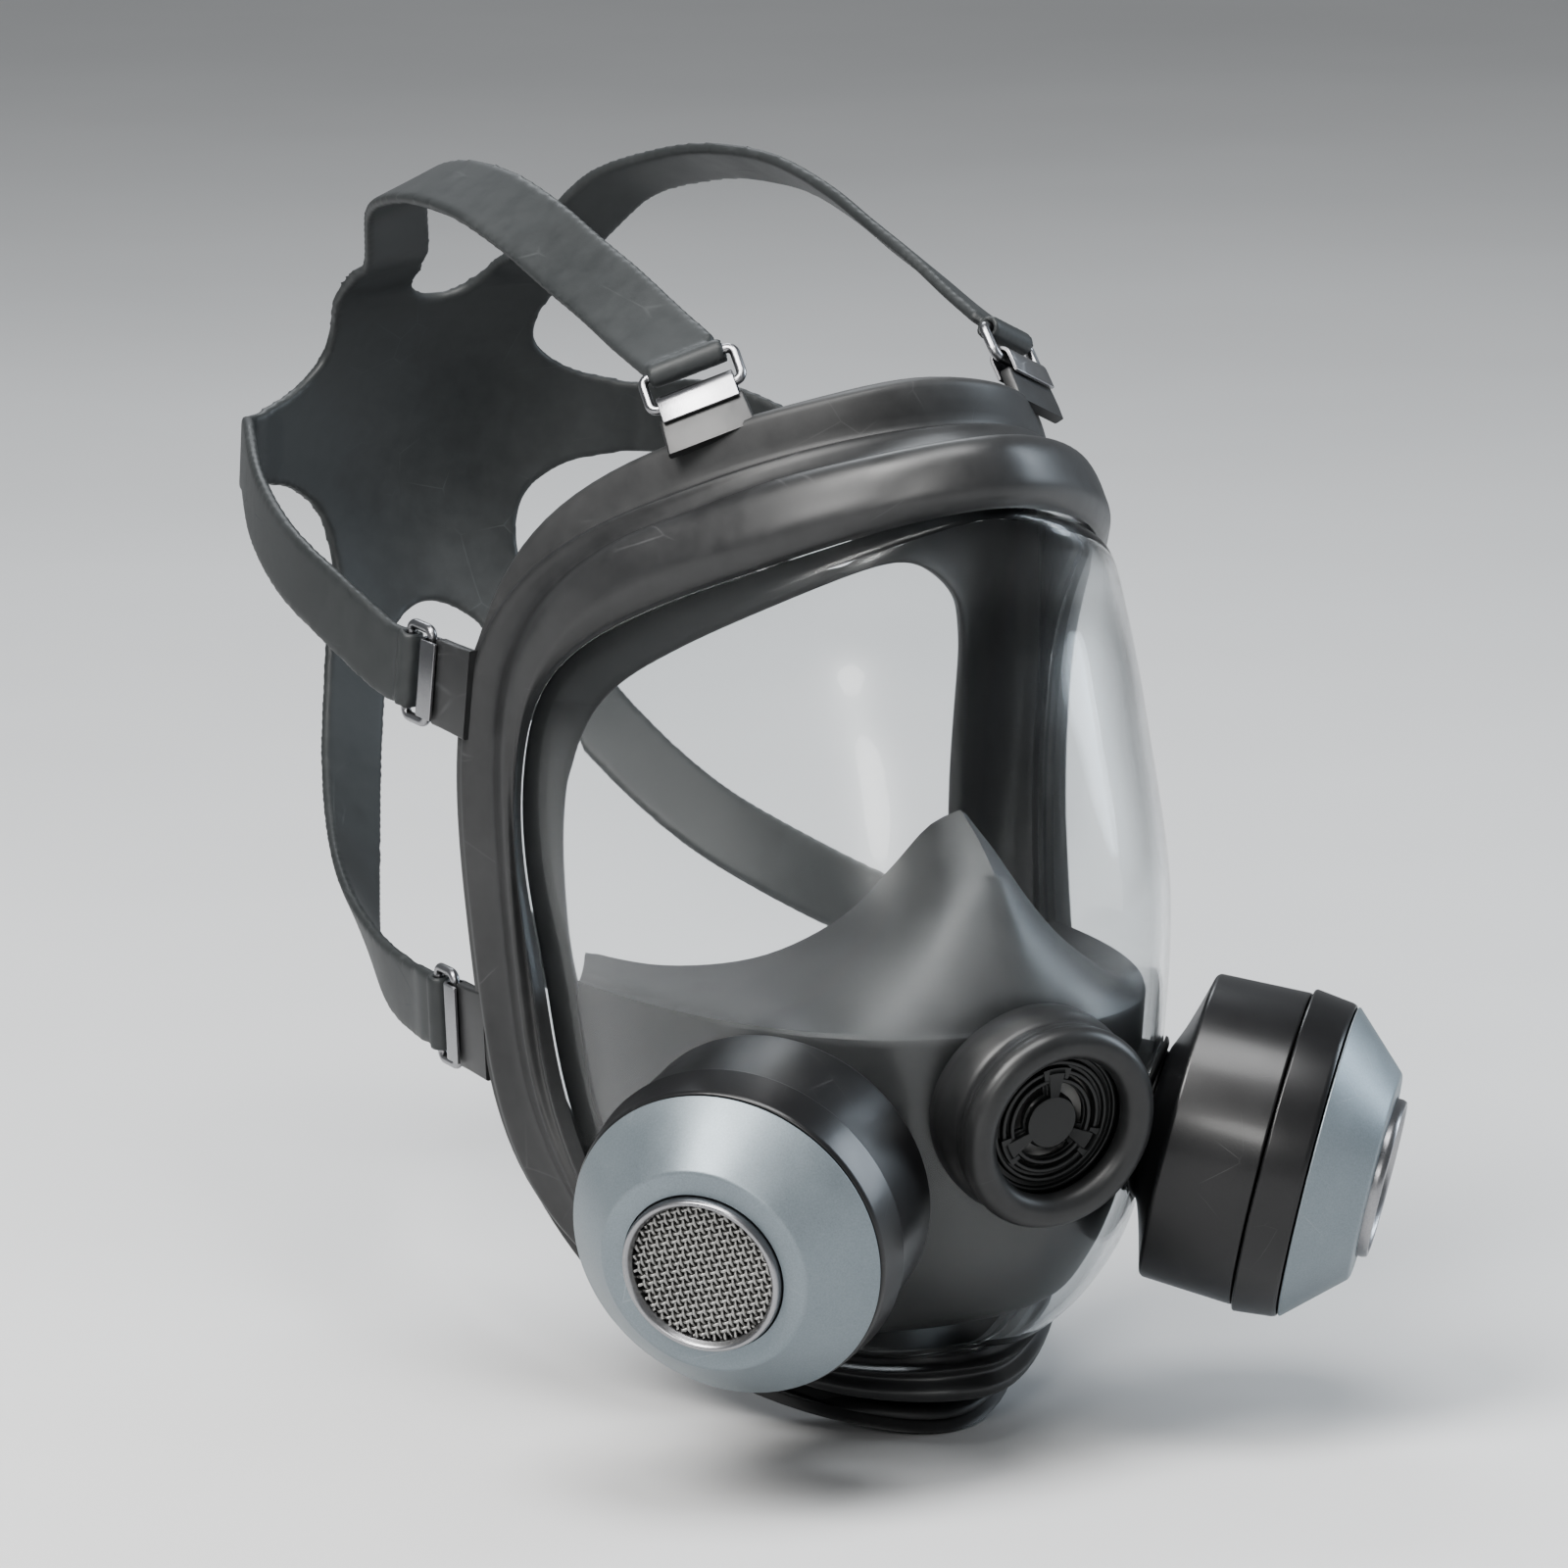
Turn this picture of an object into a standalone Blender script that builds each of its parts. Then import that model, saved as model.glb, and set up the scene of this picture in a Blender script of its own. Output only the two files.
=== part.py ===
# Full face respirator: wrap-round visor in a rubber frame, face seal, inner mask,
# exhalation valve, two screw-in filters and a six-strap rubber head harness.
# Metres. The wearer's left-right is X, the front of the mask faces -Y, up is +Z.
import bpy
import bmesh
import math
import numpy as np
from mathutils import Matrix, Vector

for ob in list(bpy.data.objects):
    bpy.data.objects.remove(ob, do_unlink=True)

# ---------------------------------------------------------------- driving dimensions (mm)
MM = 0.001
GAP = 0.3                    # clearance between neighbouring pieces
VISOR_T = 2.0                # visor thickness
SEAL_T = 3.0                 # rubber thickness of the face seal
CUP_T = 2.0                  # rubber thickness of the inner mask
EDGE = 4.0                   # how far the visor sits in the frame rebate
N_RIM = 40                   # stations round the frame and seal

VALVE_POS = (0.0, -70.5, -38.5)      # centre of the front rim of the exhalation valve
VALVE_TILT = 10.5            # degrees, looks slightly down
VALVE_R = 23.0               # outside radius of the valve rim

FILTER_POS = (76.0, -58.7, -58.5)    # centre of the large edge of the cone, wearer's +X side
FILTER_YAW = 51.3            # degrees outwards from straight ahead
FILTER_DIP = 13.1            # degrees below level
CAN_R = 37.0                 # filter can radius
CONE_R = 35.9                # large edge of the front cone
FACE_R = 23.9                # small edge of the front cone
NECK_R = 12.5                # threaded neck of the filter, plain here
PORT_R = 16.8                # outside radius of the port in the visor

STRAP_W = 18.0               # strap width
STRAP_T = 2.8                # strap thickness
WIRE_R = 1.15                # wire of the strap rings
RING_W = 21.8                # ring, bar centre to bar centre across the strap
RING_L = 8.5                # ring, bar centre to bar centre along the strap
EYE_BORE = 1.5               # bore of the sleeves and strap eyes round the wire

# ---------------------------------------------------------------- materials
def material(name, colour, rough, metal=0.0, alpha=1.0):
    m = bpy.data.materials.new(name)
    m.use_nodes = True
    b = m.node_tree.nodes["Principled BSDF"]
    b.inputs["Base Color"].default_value = (*colour, 1.0)
    b.inputs["Roughness"].default_value = rough
    b.inputs["Metallic"].default_value = metal
    b.inputs["Alpha"].default_value = alpha
    m.diffuse_color = (*colour, alpha)
    return m

RUBBER = material("frame_rubber", (0.022, 0.022, 0.023), 0.38)
SEALR = material("seal_rubber", (0.03, 0.03, 0.031), 0.5)
CUPR = material("cup_rubber", (0.04, 0.04, 0.041), 0.6)
LENS = material("clear_visor", (0.75, 0.77, 0.78), 0.05, 0.0, 0.3)
STRAPR = material("strap_rubber", (0.035, 0.038, 0.038), 0.55)
GLOSS = material("black_enamel", (0.012, 0.012, 0.013), 0.22)
ALU = material("grey_enamel", (0.32, 0.36, 0.39), 0.35, 0.6)
STEEL = material("bright_steel", (0.62, 0.62, 0.63), 0.22, 1.0)
MESHM = material("steel_gauze", (0.35, 0.36, 0.36), 0.4, 1.0)
NYLON = material("black_nylon", (0.02, 0.02, 0.021), 0.45)
SILI = material("silicone", (0.5, 0.5, 0.5), 0.5)
PAPER = material("pleated_paper", (0.8, 0.78, 0.7), 0.9)
CARBON = material("carbon_bed", (0.02, 0.02, 0.02), 0.95)

# ---------------------------------------------------------------- mesh helpers
def add(name, verts, faces, mat, matrix=None, smooth=False):
    me = bpy.data.meshes.new(name)
    me.from_pydata([tuple(float(c) * MM for c in v) for v in verts], [], faces)
    bm = bmesh.new()
    bm.from_mesh(me)
    bmesh.ops.recalc_face_normals(bm, faces=bm.faces)
    bm.to_mesh(me)
    bm.free()
    me.update()
    me.materials.append(mat)
    for p in me.polygons:
        p.use_smooth = smooth
    ob = bpy.data.objects.new(name, me)
    if matrix is not None:
        ob.matrix_world = matrix
    bpy.context.scene.collection.objects.link(ob)
    return ob

def copy(ob, name, matrix):
    new = ob.copy()
    new.name = name
    new.matrix_world = matrix
    bpy.context.scene.collection.objects.link(new)
    return new

def boolean(ob, cutter, op="DIFFERENCE"):
    cutter.hide_render = True
    cutter.display_type = "WIRE"
    md = ob.modifiers.new("bool", "BOOLEAN")
    md.operation = op
    md.solver = "EXACT"
    md.object = cutter

def apply_all(ob, cutters=()):
    bpy.context.view_layer.update()
    dg = bpy.context.evaluated_depsgraph_get()
    me = bpy.data.meshes.new_from_object(ob.evaluated_get(dg))
    ob.modifiers.clear()
    ob.data = me
    for c in cutters:
        bpy.data.objects.remove(c, do_unlink=True)
    bm = bmesh.new()
    bm.from_mesh(me)
    bmesh.ops.remove_doubles(bm, verts=bm.verts, dist=2e-5)
    bmesh.ops.dissolve_degenerate(bm, edges=bm.edges, dist=1e-5)
    bmesh.ops.triangulate(bm, faces=[f for f in bm.faces if len(f.verts) > 4])
    bm.to_mesh(me)
    bm.free()
    return ob

def frame_from(origin, z, x=None):
    z = Vector(z).normalized()
    if x is None:
        x = Vector((0, 0, 1)).cross(z)
    x = Vector(x)
    x = (x - z * x.dot(z)).normalized()
    y = z.cross(x)
    m = Matrix((x, y, z)).transposed().to_4x4()
    m.translation = Vector(origin) * MM
    return m

def lathe(name, profile, mat, matrix, seg=32, smooth=False):
    # closed outline of (radius, height) turned round local Z; radius 0 becomes a pole
    verts = []
    rings = []
    for r, h in profile:
        if r < 1e-6:
            verts.append((0, 0, h))
            rings.append([len(verts) - 1])
        else:
            start = len(verts)
            for i in range(seg):
                a = 2 * math.pi * i / seg
                verts.append((r * math.cos(a), r * math.sin(a), h))
            rings.append(list(range(start, start + seg)))
    faces = []
    n = len(profile)
    for k in range(n):
        a = rings[k]
        b = rings[(k + 1) % n]
        if len(a) == 1 and len(b) == 1:
            continue
        for i in range(seg):
            j = (i + 1) % seg
            if len(a) == 1:
                faces.append((a[0], b[i], b[j]))
            elif len(b) == 1:
                faces.append((a[i], b[0], a[j]))
            else:
                faces.append((a[i], b[i], b[j], a[j]))
    return add(name, verts, faces, mat, matrix, smooth)

def loft(name, sections, mat, matrix=None, closed=True, smooth=False):
    # closed polygon sections joined in order; ends are capped when the run is open
    m = len(sections[0])
    n = len(sections)
    verts = [p for s in sections for p in s]
    faces = []
    for i in range(n if closed else n - 1):
        j = (i + 1) % n
        for k in range(m):
            l = (k + 1) % m
            faces.append((i * m + k, j * m + k, j * m + l, i * m + l))
    if not closed:
        faces.append(tuple(range(m)))
        faces.append(tuple(range((n - 1) * m, n * m))[::-1])
    return add(name, verts, faces, mat, matrix, smooth)

def grid_normals(g, wrap):
    # unit normals of a grid of points, rows by columns; wrap closes the columns
    g = np.asarray(g, float)
    du = np.gradient(g, axis=0)
    if wrap:
        dv = (np.roll(g, -1, 1) - np.roll(g, 1, 1)) * 0.5
    else:
        dv = np.gradient(g, axis=1)
    n = np.cross(du, dv)
    n /= np.maximum(np.linalg.norm(n, axis=2, keepdims=True), 1e-9)
    return n

def spline(points, count, closed=False):
    # centripetal-like smooth curve through the points, evenly spaced by length
    p = np.asarray(points, float)
    n = len(p)
    out = []
    steps = 24
    spans = n if closed else n - 1
    for i in range(spans):
        if closed:
            a, b, c, d = p[(i - 1) % n], p[i], p[(i + 1) % n], p[(i + 2) % n]
        else:
            b, c = p[i], p[i + 1]
            a = p[i - 1] if i > 0 else 2 * b - c
            d = p[i + 2] if i + 2 < n else 2 * c - b
        t1 = max(np.linalg.norm(b - a), 1e-6) ** 0.5
        t2 = max(np.linalg.norm(c - b), 1e-6) ** 0.5
        t3 = max(np.linalg.norm(d - c), 1e-6) ** 0.5
        mb = (c - b) / t2 - (c - a) / (t1 + t2) + (b - a) / t1
        mc = (d - c) / t3 - (d - b) / (t2 + t3) + (c - b) / t2
        mb = mb * t2
        mc = mc * t2
        for s in range(steps):
            t = s / steps
            h = ((2 * t**3 - 3 * t**2 + 1) * b + (t**3 - 2 * t**2 + t) * mb
                 + (-2 * t**3 + 3 * t**2) * c + (t**3 - t**2) * mc)
            out.append(h)
    out.append(p[0] if closed else p[-1])
    out = np.array(out)
    seg = np.r_[0, np.cumsum(np.linalg.norm(np.diff(out, axis=0), axis=1))]
    t = np.linspace(0, seg[-1], count + 1)[:-1] if closed else np.linspace(0, seg[-1], count)
    return np.stack([np.interp(t, seg, out[:, k]) for k in range(3)], 1)

def outline(half, angles):
    # half outline from top centre to bottom centre, mirrored, read off at polar angles
    h = np.array(half, float)
    full = np.vstack([h, (h[1:-1] * (-1, 1, 1))[::-1]])
    dense = spline(full, 720, closed=True)
    ang = np.unwrap(np.arctan2(dense[:, 0], dense[:, 2]))
    ang = ang - ang[0] + math.atan2(dense[0, 0], dense[0, 2])
    order = np.argsort(ang)
    a = ang[order]
    d = dense[order]
    a = np.r_[a - 2 * math.pi, a, a + 2 * math.pi]
    d = np.vstack([d, d, d])
    return np.stack([np.interp(angles, a, d[:, k]) for k in range(3)], 1)

ANG = np.linspace(0, 2 * math.pi, N_RIM, endpoint=False)

# outlines (mm), wearer's +X half, from the forehead round to the chin
VIEW_EDGE = [(0, -42.5, 94), (17.5, -36.5, 91), (33, -26.5, 85.5), (45.5, -11, 78), (55.5, 8, 69.5),
             (64.5, 28, 58), (69, 40, 45.5), (70.3, 46, 24), (69.5, 46, 4), (67.3, 42, -18),
             (66, 36, -42), (63, 28, -62), (57, 20, -79), (49, 12, -89.5), (38.5, -1, -95.5),
             (28, -11, -99), (15.5, -22, -100.5), (0, -31.5, -99)]
CREASE = [(0, -41.5, 110.5), (14, -36, 108.5), (24.5, -28.5, 105.5), (37.5, -14, 100), (50, 2, 91.5),
          (61.5, 19, 83), (70, 34, 69.5), (74.3, 44, 52), (75, 47.5, 31), (74.2, 48, 7),
          (72.8, 46, -21), (71, 42, -45), (68, 36, -60), (61.5, 28, -78), (53.5, 17.5, -91),
          (43, 2, -101.5), (30.3, -12.5, -107.5), (16, -26, -109.8), (0, -36.5, -109)]
BACK = [(0, -19, 110), (19.5, -15, 108), (35, -3, 102.5), (50, 13, 94), (62.5, 31, 84), (71.5, 48, 70),
        (77, 58, 52), (79, 61, 31), (78.7, 61, 10), (77, 60.5, -10), (75.5, 58.5, -30),
        (74, 54, -50), (69.5, 47.5, -69), (61, 38, -84), (50, 24, -96), (38, 8, -104),
        (20, -9, -110), (0, -19, -112)]
CREST = [(0, -14, 119.5), (19, -11.5, 116.5), (33, 0, 112), (45.5, 15, 105), (57, 31, 96),
         (67, 46, 82.5), (73.5, 57, 62), (76, 63.5, 35), (75.5, 65, 10), (74, 64, -12), (72, 61, -32),
         (70.5, 56, -52), (66.5, 49, -71), (59, 40, -88), (49, 25, -102), (37, 6, -112),
         (20, -15, -117.5), (0, -27, -120)]
REAR = [(0, 6, 114), (20, 9, 110.5), (37, 20, 103), (50, 35, 93), (60, 50, 79.5), (66.5, 61.5, 62),
        (69.5, 68, 40), (69, 70.5, 15), (67, 71, -10), (62.5, 68, -32), (59, 62, -56), (52, 52, -76),
        (43, 39, -92), (30, 22, -105), (16, 8, -112), (0, 0, -115)]
OPENING = [(0, 0, 77), (14, 9, 71.5), (28, 23, 62.5), (38, 38, 53), (46, 51, 43), (50, 59.5, 30),
           (51, 63.5, 13), (50.5, 63.5, -6), (49.5, 61.5, -22), (45, 55, -45), (36, 44, -64),
           (22, 30, -80), (0, 20, -88)]

rim_view = outline(VIEW_EDGE, ANG)
rim_crease = outline(CREASE, ANG)
rim_back = outline(BACK, ANG)
seal_crest = outline(CREST, ANG)
seal_rear = outline(REAR, ANG)
seal_open = outline(OPENING, ANG)

# ---------------------------------------------------------------- visor surface
PROFILE_Z = [-120, -99, -91, -80, -60, -38, -12, 6, 20, 43, 62, 94, 120]
PROFILE_Y = [-25, -31.5, -37, -44, -52, -57, -61.5, -61, -58.5, -52, -44.5, -42.5, -40]
FULL_Z = [-120, -60, 0, 40, 94, 120]
FULL_N = [2.3, 2.4, 2.35, 2.05, 2.0, 2.0]

edge_dense = outline(VIEW_EDGE, np.linspace(0, math.pi, 400))

def visor_y(x, z, inset=0.0):
    # depth of the outer visor surface at (x, z)
    order = np.argsort(edge_dense[:, 2])
    zs = edge_dense[order, 2]
    xb = np.interp(z, zs, edge_dense[order, 0]) - inset
    yb = np.interp(z, zs, edge_dense[order, 1])
    yc = np.interp(z, PROFILE_Z, PROFILE_Y) + inset
    n = np.interp(z, FULL_Z, FULL_N)
    q = np.clip(np.abs(x) / np.maximum(xb, 1e-6), 0, 1)
    return yb + (yc - yb) * (1 - q ** n) ** (1 / n)

RHO = [0.3, 0.57, 0.79, 0.92, 0.975, 0.995]
CENTRE_Z = -10.0
grid = []
for rho in RHO:
    row = []
    for e in rim_view:
        x = rho * e[0]
        z = CENTRE_Z + rho * (e[2] - CENTRE_Z)
        row.append((x, float(visor_y(x, z)), z))
    grid.append(row)
grid = np.array(grid)
edge = rim_view.copy()
tau = edge - grid[-2]
tau /= np.linalg.norm(tau, axis=1, keepdims=True)
grid[-1] = 0.5 * grid[-1] + 0.5 * (grid[-2] + (edge - grid[-2]) * 0.8)
grid = np.concatenate([grid, edge[None], (edge + tau * (EDGE - 1.5))[None]])
nrm = grid_normals(grid, True)
centre = np.array([0.0, -20.0, -10.0])
flip = np.sign(((grid - centre) * nrm).sum(-1, keepdims=True))
nrm = nrm * flip
nrm[-1] = nrm[-2]
edge_n = nrm[-2]

def polar_shell(name, g, nr, t, mat):
    # shell of thickness t behind the polar grid g, closed by one centre point per side
    rows, cols = g.shape[:2]
    inner = g - nr * t
    lift = float((g[0] - grid[0])[0] @ nr[0][0])
    c0 = np.array([0.0, float(visor_y(0, CENTRE_Z)) - lift, CENTRE_Z])
    verts = [*g.reshape(-1, 3), c0, *inner.reshape(-1, 3), c0 + (0, t, 0)]
    off = rows * cols + 1
    faces = []
    for i in range(rows - 1):
        for j in range(cols):
            k = (j + 1) % cols
            faces.append((i * cols + j, i * cols + k, (i + 1) * cols + k, (i + 1) * cols + j))
            faces.append((off + i * cols + j, off + (i + 1) * cols + j,
                          off + (i + 1) * cols + k, off + i * cols + k))
    last = (rows - 1) * cols
    for j in range(cols):
        k = (j + 1) % cols
        faces.append((rows * cols, k, j))
        faces.append((off + rows * cols, off + j, off + k))
        faces.append((last + j, last + k, off + last + k, off + last + j))
    return add(name, verts, faces, mat)

visor = polar_shell("visor", grid, nrm, VISOR_T, LENS)

# ---------------------------------------------------------------- frame round the visor
def toward(a, b, d):
    v = b - a
    return a + v / max(np.linalg.norm(v), 1e-6) * d

sections = []
for i in range(N_RIM):
    v = edge[i] + edge_n[i] * GAP
    t = tau[i]
    n = edge_n[i]
    c = rim_crease[i]
    b = rim_back[i]
    lift = np.linalg.norm(c - edge[i])
    mid = 0.5 * (v + c)
    fwd = np.cross(c - v, np.array([c[2], 0, -c[0]]))
    fwd /= np.linalg.norm(fwd)
    fwd *= np.sign(-fwd[1]) if abs(fwd[1]) > 0.05 else 1.0
    bulge = fwd * min(4.5, 0.28 * lift)
    inward = np.array([-c[0], 0.0, -c[2]])
    inward /= np.linalg.norm(inward)
    groove = c * 0.55 + b * 0.45 + inward * 2.2
    lip = 0.5 + 0.7 * math.exp(-(edge[i][0] / 12.0) ** 2)
    p = [v + n * lip,
         v * 0.8 + c * 0.2 + bulge * 0.7 + n * 1.2,
         mid + bulge,
         v * 0.15 + c * 0.85 + bulge * 0.6,
         c,
         groove,
         c * 0.2 + b * 0.8 + inward * 0.8,
         b,
         b + inward * 5.0,
         edge[i] + t * (EDGE + 3.0) - n * (VISOR_T + GAP),
         edge[i] + t * EDGE - n * (VISOR_T + GAP),
         edge[i] + t * EDGE + n * (GAP + lip)]
    sections.append(p)
visor_frame = loft("visor_frame", sections, RUBBER)

# ---------------------------------------------------------------- face seal
sections = []
for i in range(N_RIM):
    b = rim_back[i]
    inward = np.array([-b[0], 0.0, -b[2]])
    inward /= np.linalg.norm(inward)
    back = np.array([0.0, 1.0, 0.0])
    start = b + inward * 0.9 + back * 0.6
    p_out = [start, start + back * 2.2, 0.35 * start + 0.65 * seal_crest[i] - inward * 0.4 + back * 0.9,
             seal_crest[i] + back * 0.8,
             0.5 * (seal_crest[i] + seal_rear[i]) - inward * 1.2 + back * 1.0, seal_rear[i],
             0.62 * seal_rear[i] + 0.38 * seal_open[i] + back * 1.5,
             0.3 * seal_rear[i] + 0.7 * seal_open[i] + back * 0.8, seal_open[i]]
    p_out = np.array(p_out)
    d = np.gradient(p_out, axis=0)
    side = np.cross(d, np.cross(inward, back))
    side /= np.linalg.norm(side, axis=1, keepdims=True)
    mid = 0.5 * (b + seal_open[i]) - back * 6
    for k in range(len(p_out)):
        if np.dot(mid - p_out[k], side[k]) < 0:
            side[k] = -side[k]
    p_in = p_out + side * SEAL_T
    if seal_crest[i][1] > b[1] - 1.0:
        p_in[:5, 1] = np.maximum(p_in[:5, 1], b[1] + 0.6)
        p_out[1:4, 1] = np.maximum(p_out[1:4, 1], b[1] + 2.0)
    sections.append([*p_out, *p_in[::-1]])
face_seal = loft("face_seal", sections, SEALR)

# ---------------------------------------------------------------- inner mask (nose cup)
# rows from the upper edge, over the shelf, down the front wall and under to the chin
CUP_EDGE = [(0, -28.5, 24.5), (4.5, -24.5, 21.5), (8.5, -12, 9), (12.5, 4, -5), (23, 22, -16),
            (37, 42, -20.3), (48.5, 56.5, -18.8)]
SHELF_Z = -19.5
INSET = 6.0
cols = 23
s_mid = np.linspace(-1, 1, cols)
half_edge = spline(CUP_EDGE, cols // 2 + 1)
top_row = np.vstack([(half_edge * (-1, 1, 1))[::-1], half_edge[1:]])

def wall_row(z, width, deep):
    order = np.argsort(edge_dense[:, 2])
    xb = float(np.interp(z, edge_dense[order, 2], edge_dense[order, 0])) - INSET
    out = []
    for s in s_mid:
        x = xb * width * math.sin(s * math.pi / 2 * 0.97)
        y = float(visor_y(x, z, INSET)) + deep
        out.append((x, y, z))
    return np.array(out)

shelf = wall_row(SHELF_Z, 1.0, 0.0)
rows = [top_row]
bump = np.exp(-(top_row[:, 0] / 15.0) ** 2)[:, None]
for f in (0.2, 0.45, 0.72):
    mix = top_row * (1 - f) + shelf * f
    dome = math.sin(math.pi * f)
    mix = mix + bump * dome * np.array([0, -4.5, 5.5]) - (1 - bump) * dome * np.array([0, 0, 1.5])
    mix[:, 0] *= 1 + 0.35 * dome * bump[:, 0]
    rows.append(mix)
rows.append(shelf)
rows.append(wall_row(-32.0, 1.0, 0.0))
rows.append(wall_row(-50.0, 1.0, 0.0))
rows.append(wall_row(-68.0, 0.98, 0.5))
rows.append(wall_row(-82.0, 0.95, 1.5))
rows.append(wall_row(-89.0, 0.92, 3.5))
rows.append(wall_row(-93.0, 0.86, 8.0))
g = np.array(rows)
nr = grid_normals(g, False)
ref = np.array([0.0, 20.0, -45.0])
nr *= np.where(((g - ref) * nr).sum(-1, keepdims=True) < 0, -1.0, 1.0)
inner = g - nr * CUP_T
R, K = g.shape[:2]
verts = [*g.reshape(-1, 3), *inner.reshape(-1, 3)]
off = R * K
faces = []
for i in range(R - 1):
    for j in range(K - 1):
        faces.append((i * K + j, i * K + j + 1, (i + 1) * K + j + 1, (i + 1) * K + j))
        faces.append((off + i * K + j, off + (i + 1) * K + j, off + (i + 1) * K + j + 1, off + i * K + j + 1))
for j in range(K - 1):
    faces.append((j, off + j, off + j + 1, j + 1))
    a = (R - 1) * K + j
    faces.append((a, a + 1, off + a + 1, off + a))
for i in range(R - 1):
    a, b = i * K, (i + 1) * K
    faces.append((a, b, off + b, off + a))
    a, b = i * K + K - 1, (i + 1) * K + K - 1
    faces.append((a, off + a, off + b, b))
nose_cup = add("nose_cup", verts, faces, CUPR)

# ---------------------------------------------------------------- exhalation valve
tilt = math.radians(VALVE_TILT)
v_axis = Vector((0, -math.cos(tilt), -math.sin(tilt)))
VM = frame_from(VALVE_POS, v_axis, (1, 0, 0))
# local Z runs out of the mask; z = 0 is the plane of the front rim's centre line
valve_housing = lathe("exhalation_housing",
    [(19.6, -2.8), (19.6, -11.6), (11.8, -11.6), (11.8, -28.0), (14.8, -28.0), (14.8, -19.0),
     (24.8, -19.0), (24.0, -10.0), (22.9, -3.6), (23.8, -0.4), (23.4, 2.4), (21.6, 4.3), (19.4, 4.4),
     (17.2, 2.9), (16.4, 0.8), (17.2, -1.6)],
    RUBBER, VM, 32)
seat_profile = [(11.5, -11.3), (19.2, -11.3), (19.2, -9.6), (12.4, -9.6), (12.4, -8.7), (11.5, -8.7)]
valve_seat = lathe("exhalation_seat", seat_profile, NYLON, VM, 32)
bar = add("seat_bar", [(-12, -1.2, -11.2), (12, -1.2, -11.2), (12, 1.2, -11.2), (-12, 1.2, -11.2),
                       (-12, -1.2, -9.8), (12, -1.2, -9.8), (12, 1.2, -9.8), (-12, 1.2, -9.8)],
          [(0, 1, 2, 3), (4, 5, 6, 7), (0, 1, 5, 4), (1, 2, 6, 5), (2, 3, 7, 6), (3, 0, 4, 7)], NYLON, VM)
boolean(valve_seat, bar, "UNION")
apply_all(valve_seat, [bar])
flap_profile = [(0, -8.35), (14.5, -8.35), (14.5, -7.6), (2.0, -7.6), (1.6, -6.9), (0, -6.9)]
exhalation_flap = lathe("exhalation_flap", flap_profile, SILI, VM, 32)

cover = lathe("valve_cover", [(0, -4.4), (19.2, -4.4), (19.2, -3.3), (16.0, -3.3), (16.0, -2.6), (0, -2.6)],
              NYLON, VM, 32)
cutters = []
for k, (r0, r1) in enumerate([(6.5, 8.9), (10.3, 11.2)]):
    for q in range(3):
        a0 = math.radians(90 + 120 * q + 14)
        a1 = math.radians(90 + 120 * (q + 1) - 14)
        verts = []
        n = 7
        for z in (-6.0, 1.0):
            for r in (r0, r1):
                for i in range(n):
                    a = a0 + (a1 - a0) * i / (n - 1)
                    verts.append((r * math.cos(a), r * math.sin(a), z))
        faces = []
        for i in range(n - 1):
            faces.append((i, i + 1, n + i + 1, n + i))
            faces.append((2 * n + i, 3 * n + i, 3 * n + i + 1, 2 * n + i + 1))
            faces.append((i, 2 * n + i, 2 * n + i + 1, i + 1))
            faces.append((n + i, n + i + 1, 3 * n + i + 1, 3 * n + i))
        faces.append((0, n, 3 * n, 2 * n))
        faces.append((n - 1, 3 * n - 1, 4 * n - 1, 2 * n - 1))
        c = add(f"cover_slot_{k}{q}", verts, faces, NYLON, VM)
        boolean(cover, c)
        cutters.append(c)
apply_all(cover, cutters)
hub = lathe("cover_hub", [(0, -4.0), (6.2, -4.0), (6.2, -1.9), (5.9, -1.6), (0, -1.6)], NYLON, VM, 28)
boolean(cover, hub, "UNION")
apply_all(cover, [hub])

# ---------------------------------------------------------------- filters and their ports
def axis_of(side):
    yaw = math.radians(FILTER_YAW)
    dip = math.radians(FILTER_DIP)
    return Vector((side * math.sin(yaw) * math.cos(dip), -math.cos(yaw) * math.cos(dip), -math.sin(dip)))

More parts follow.
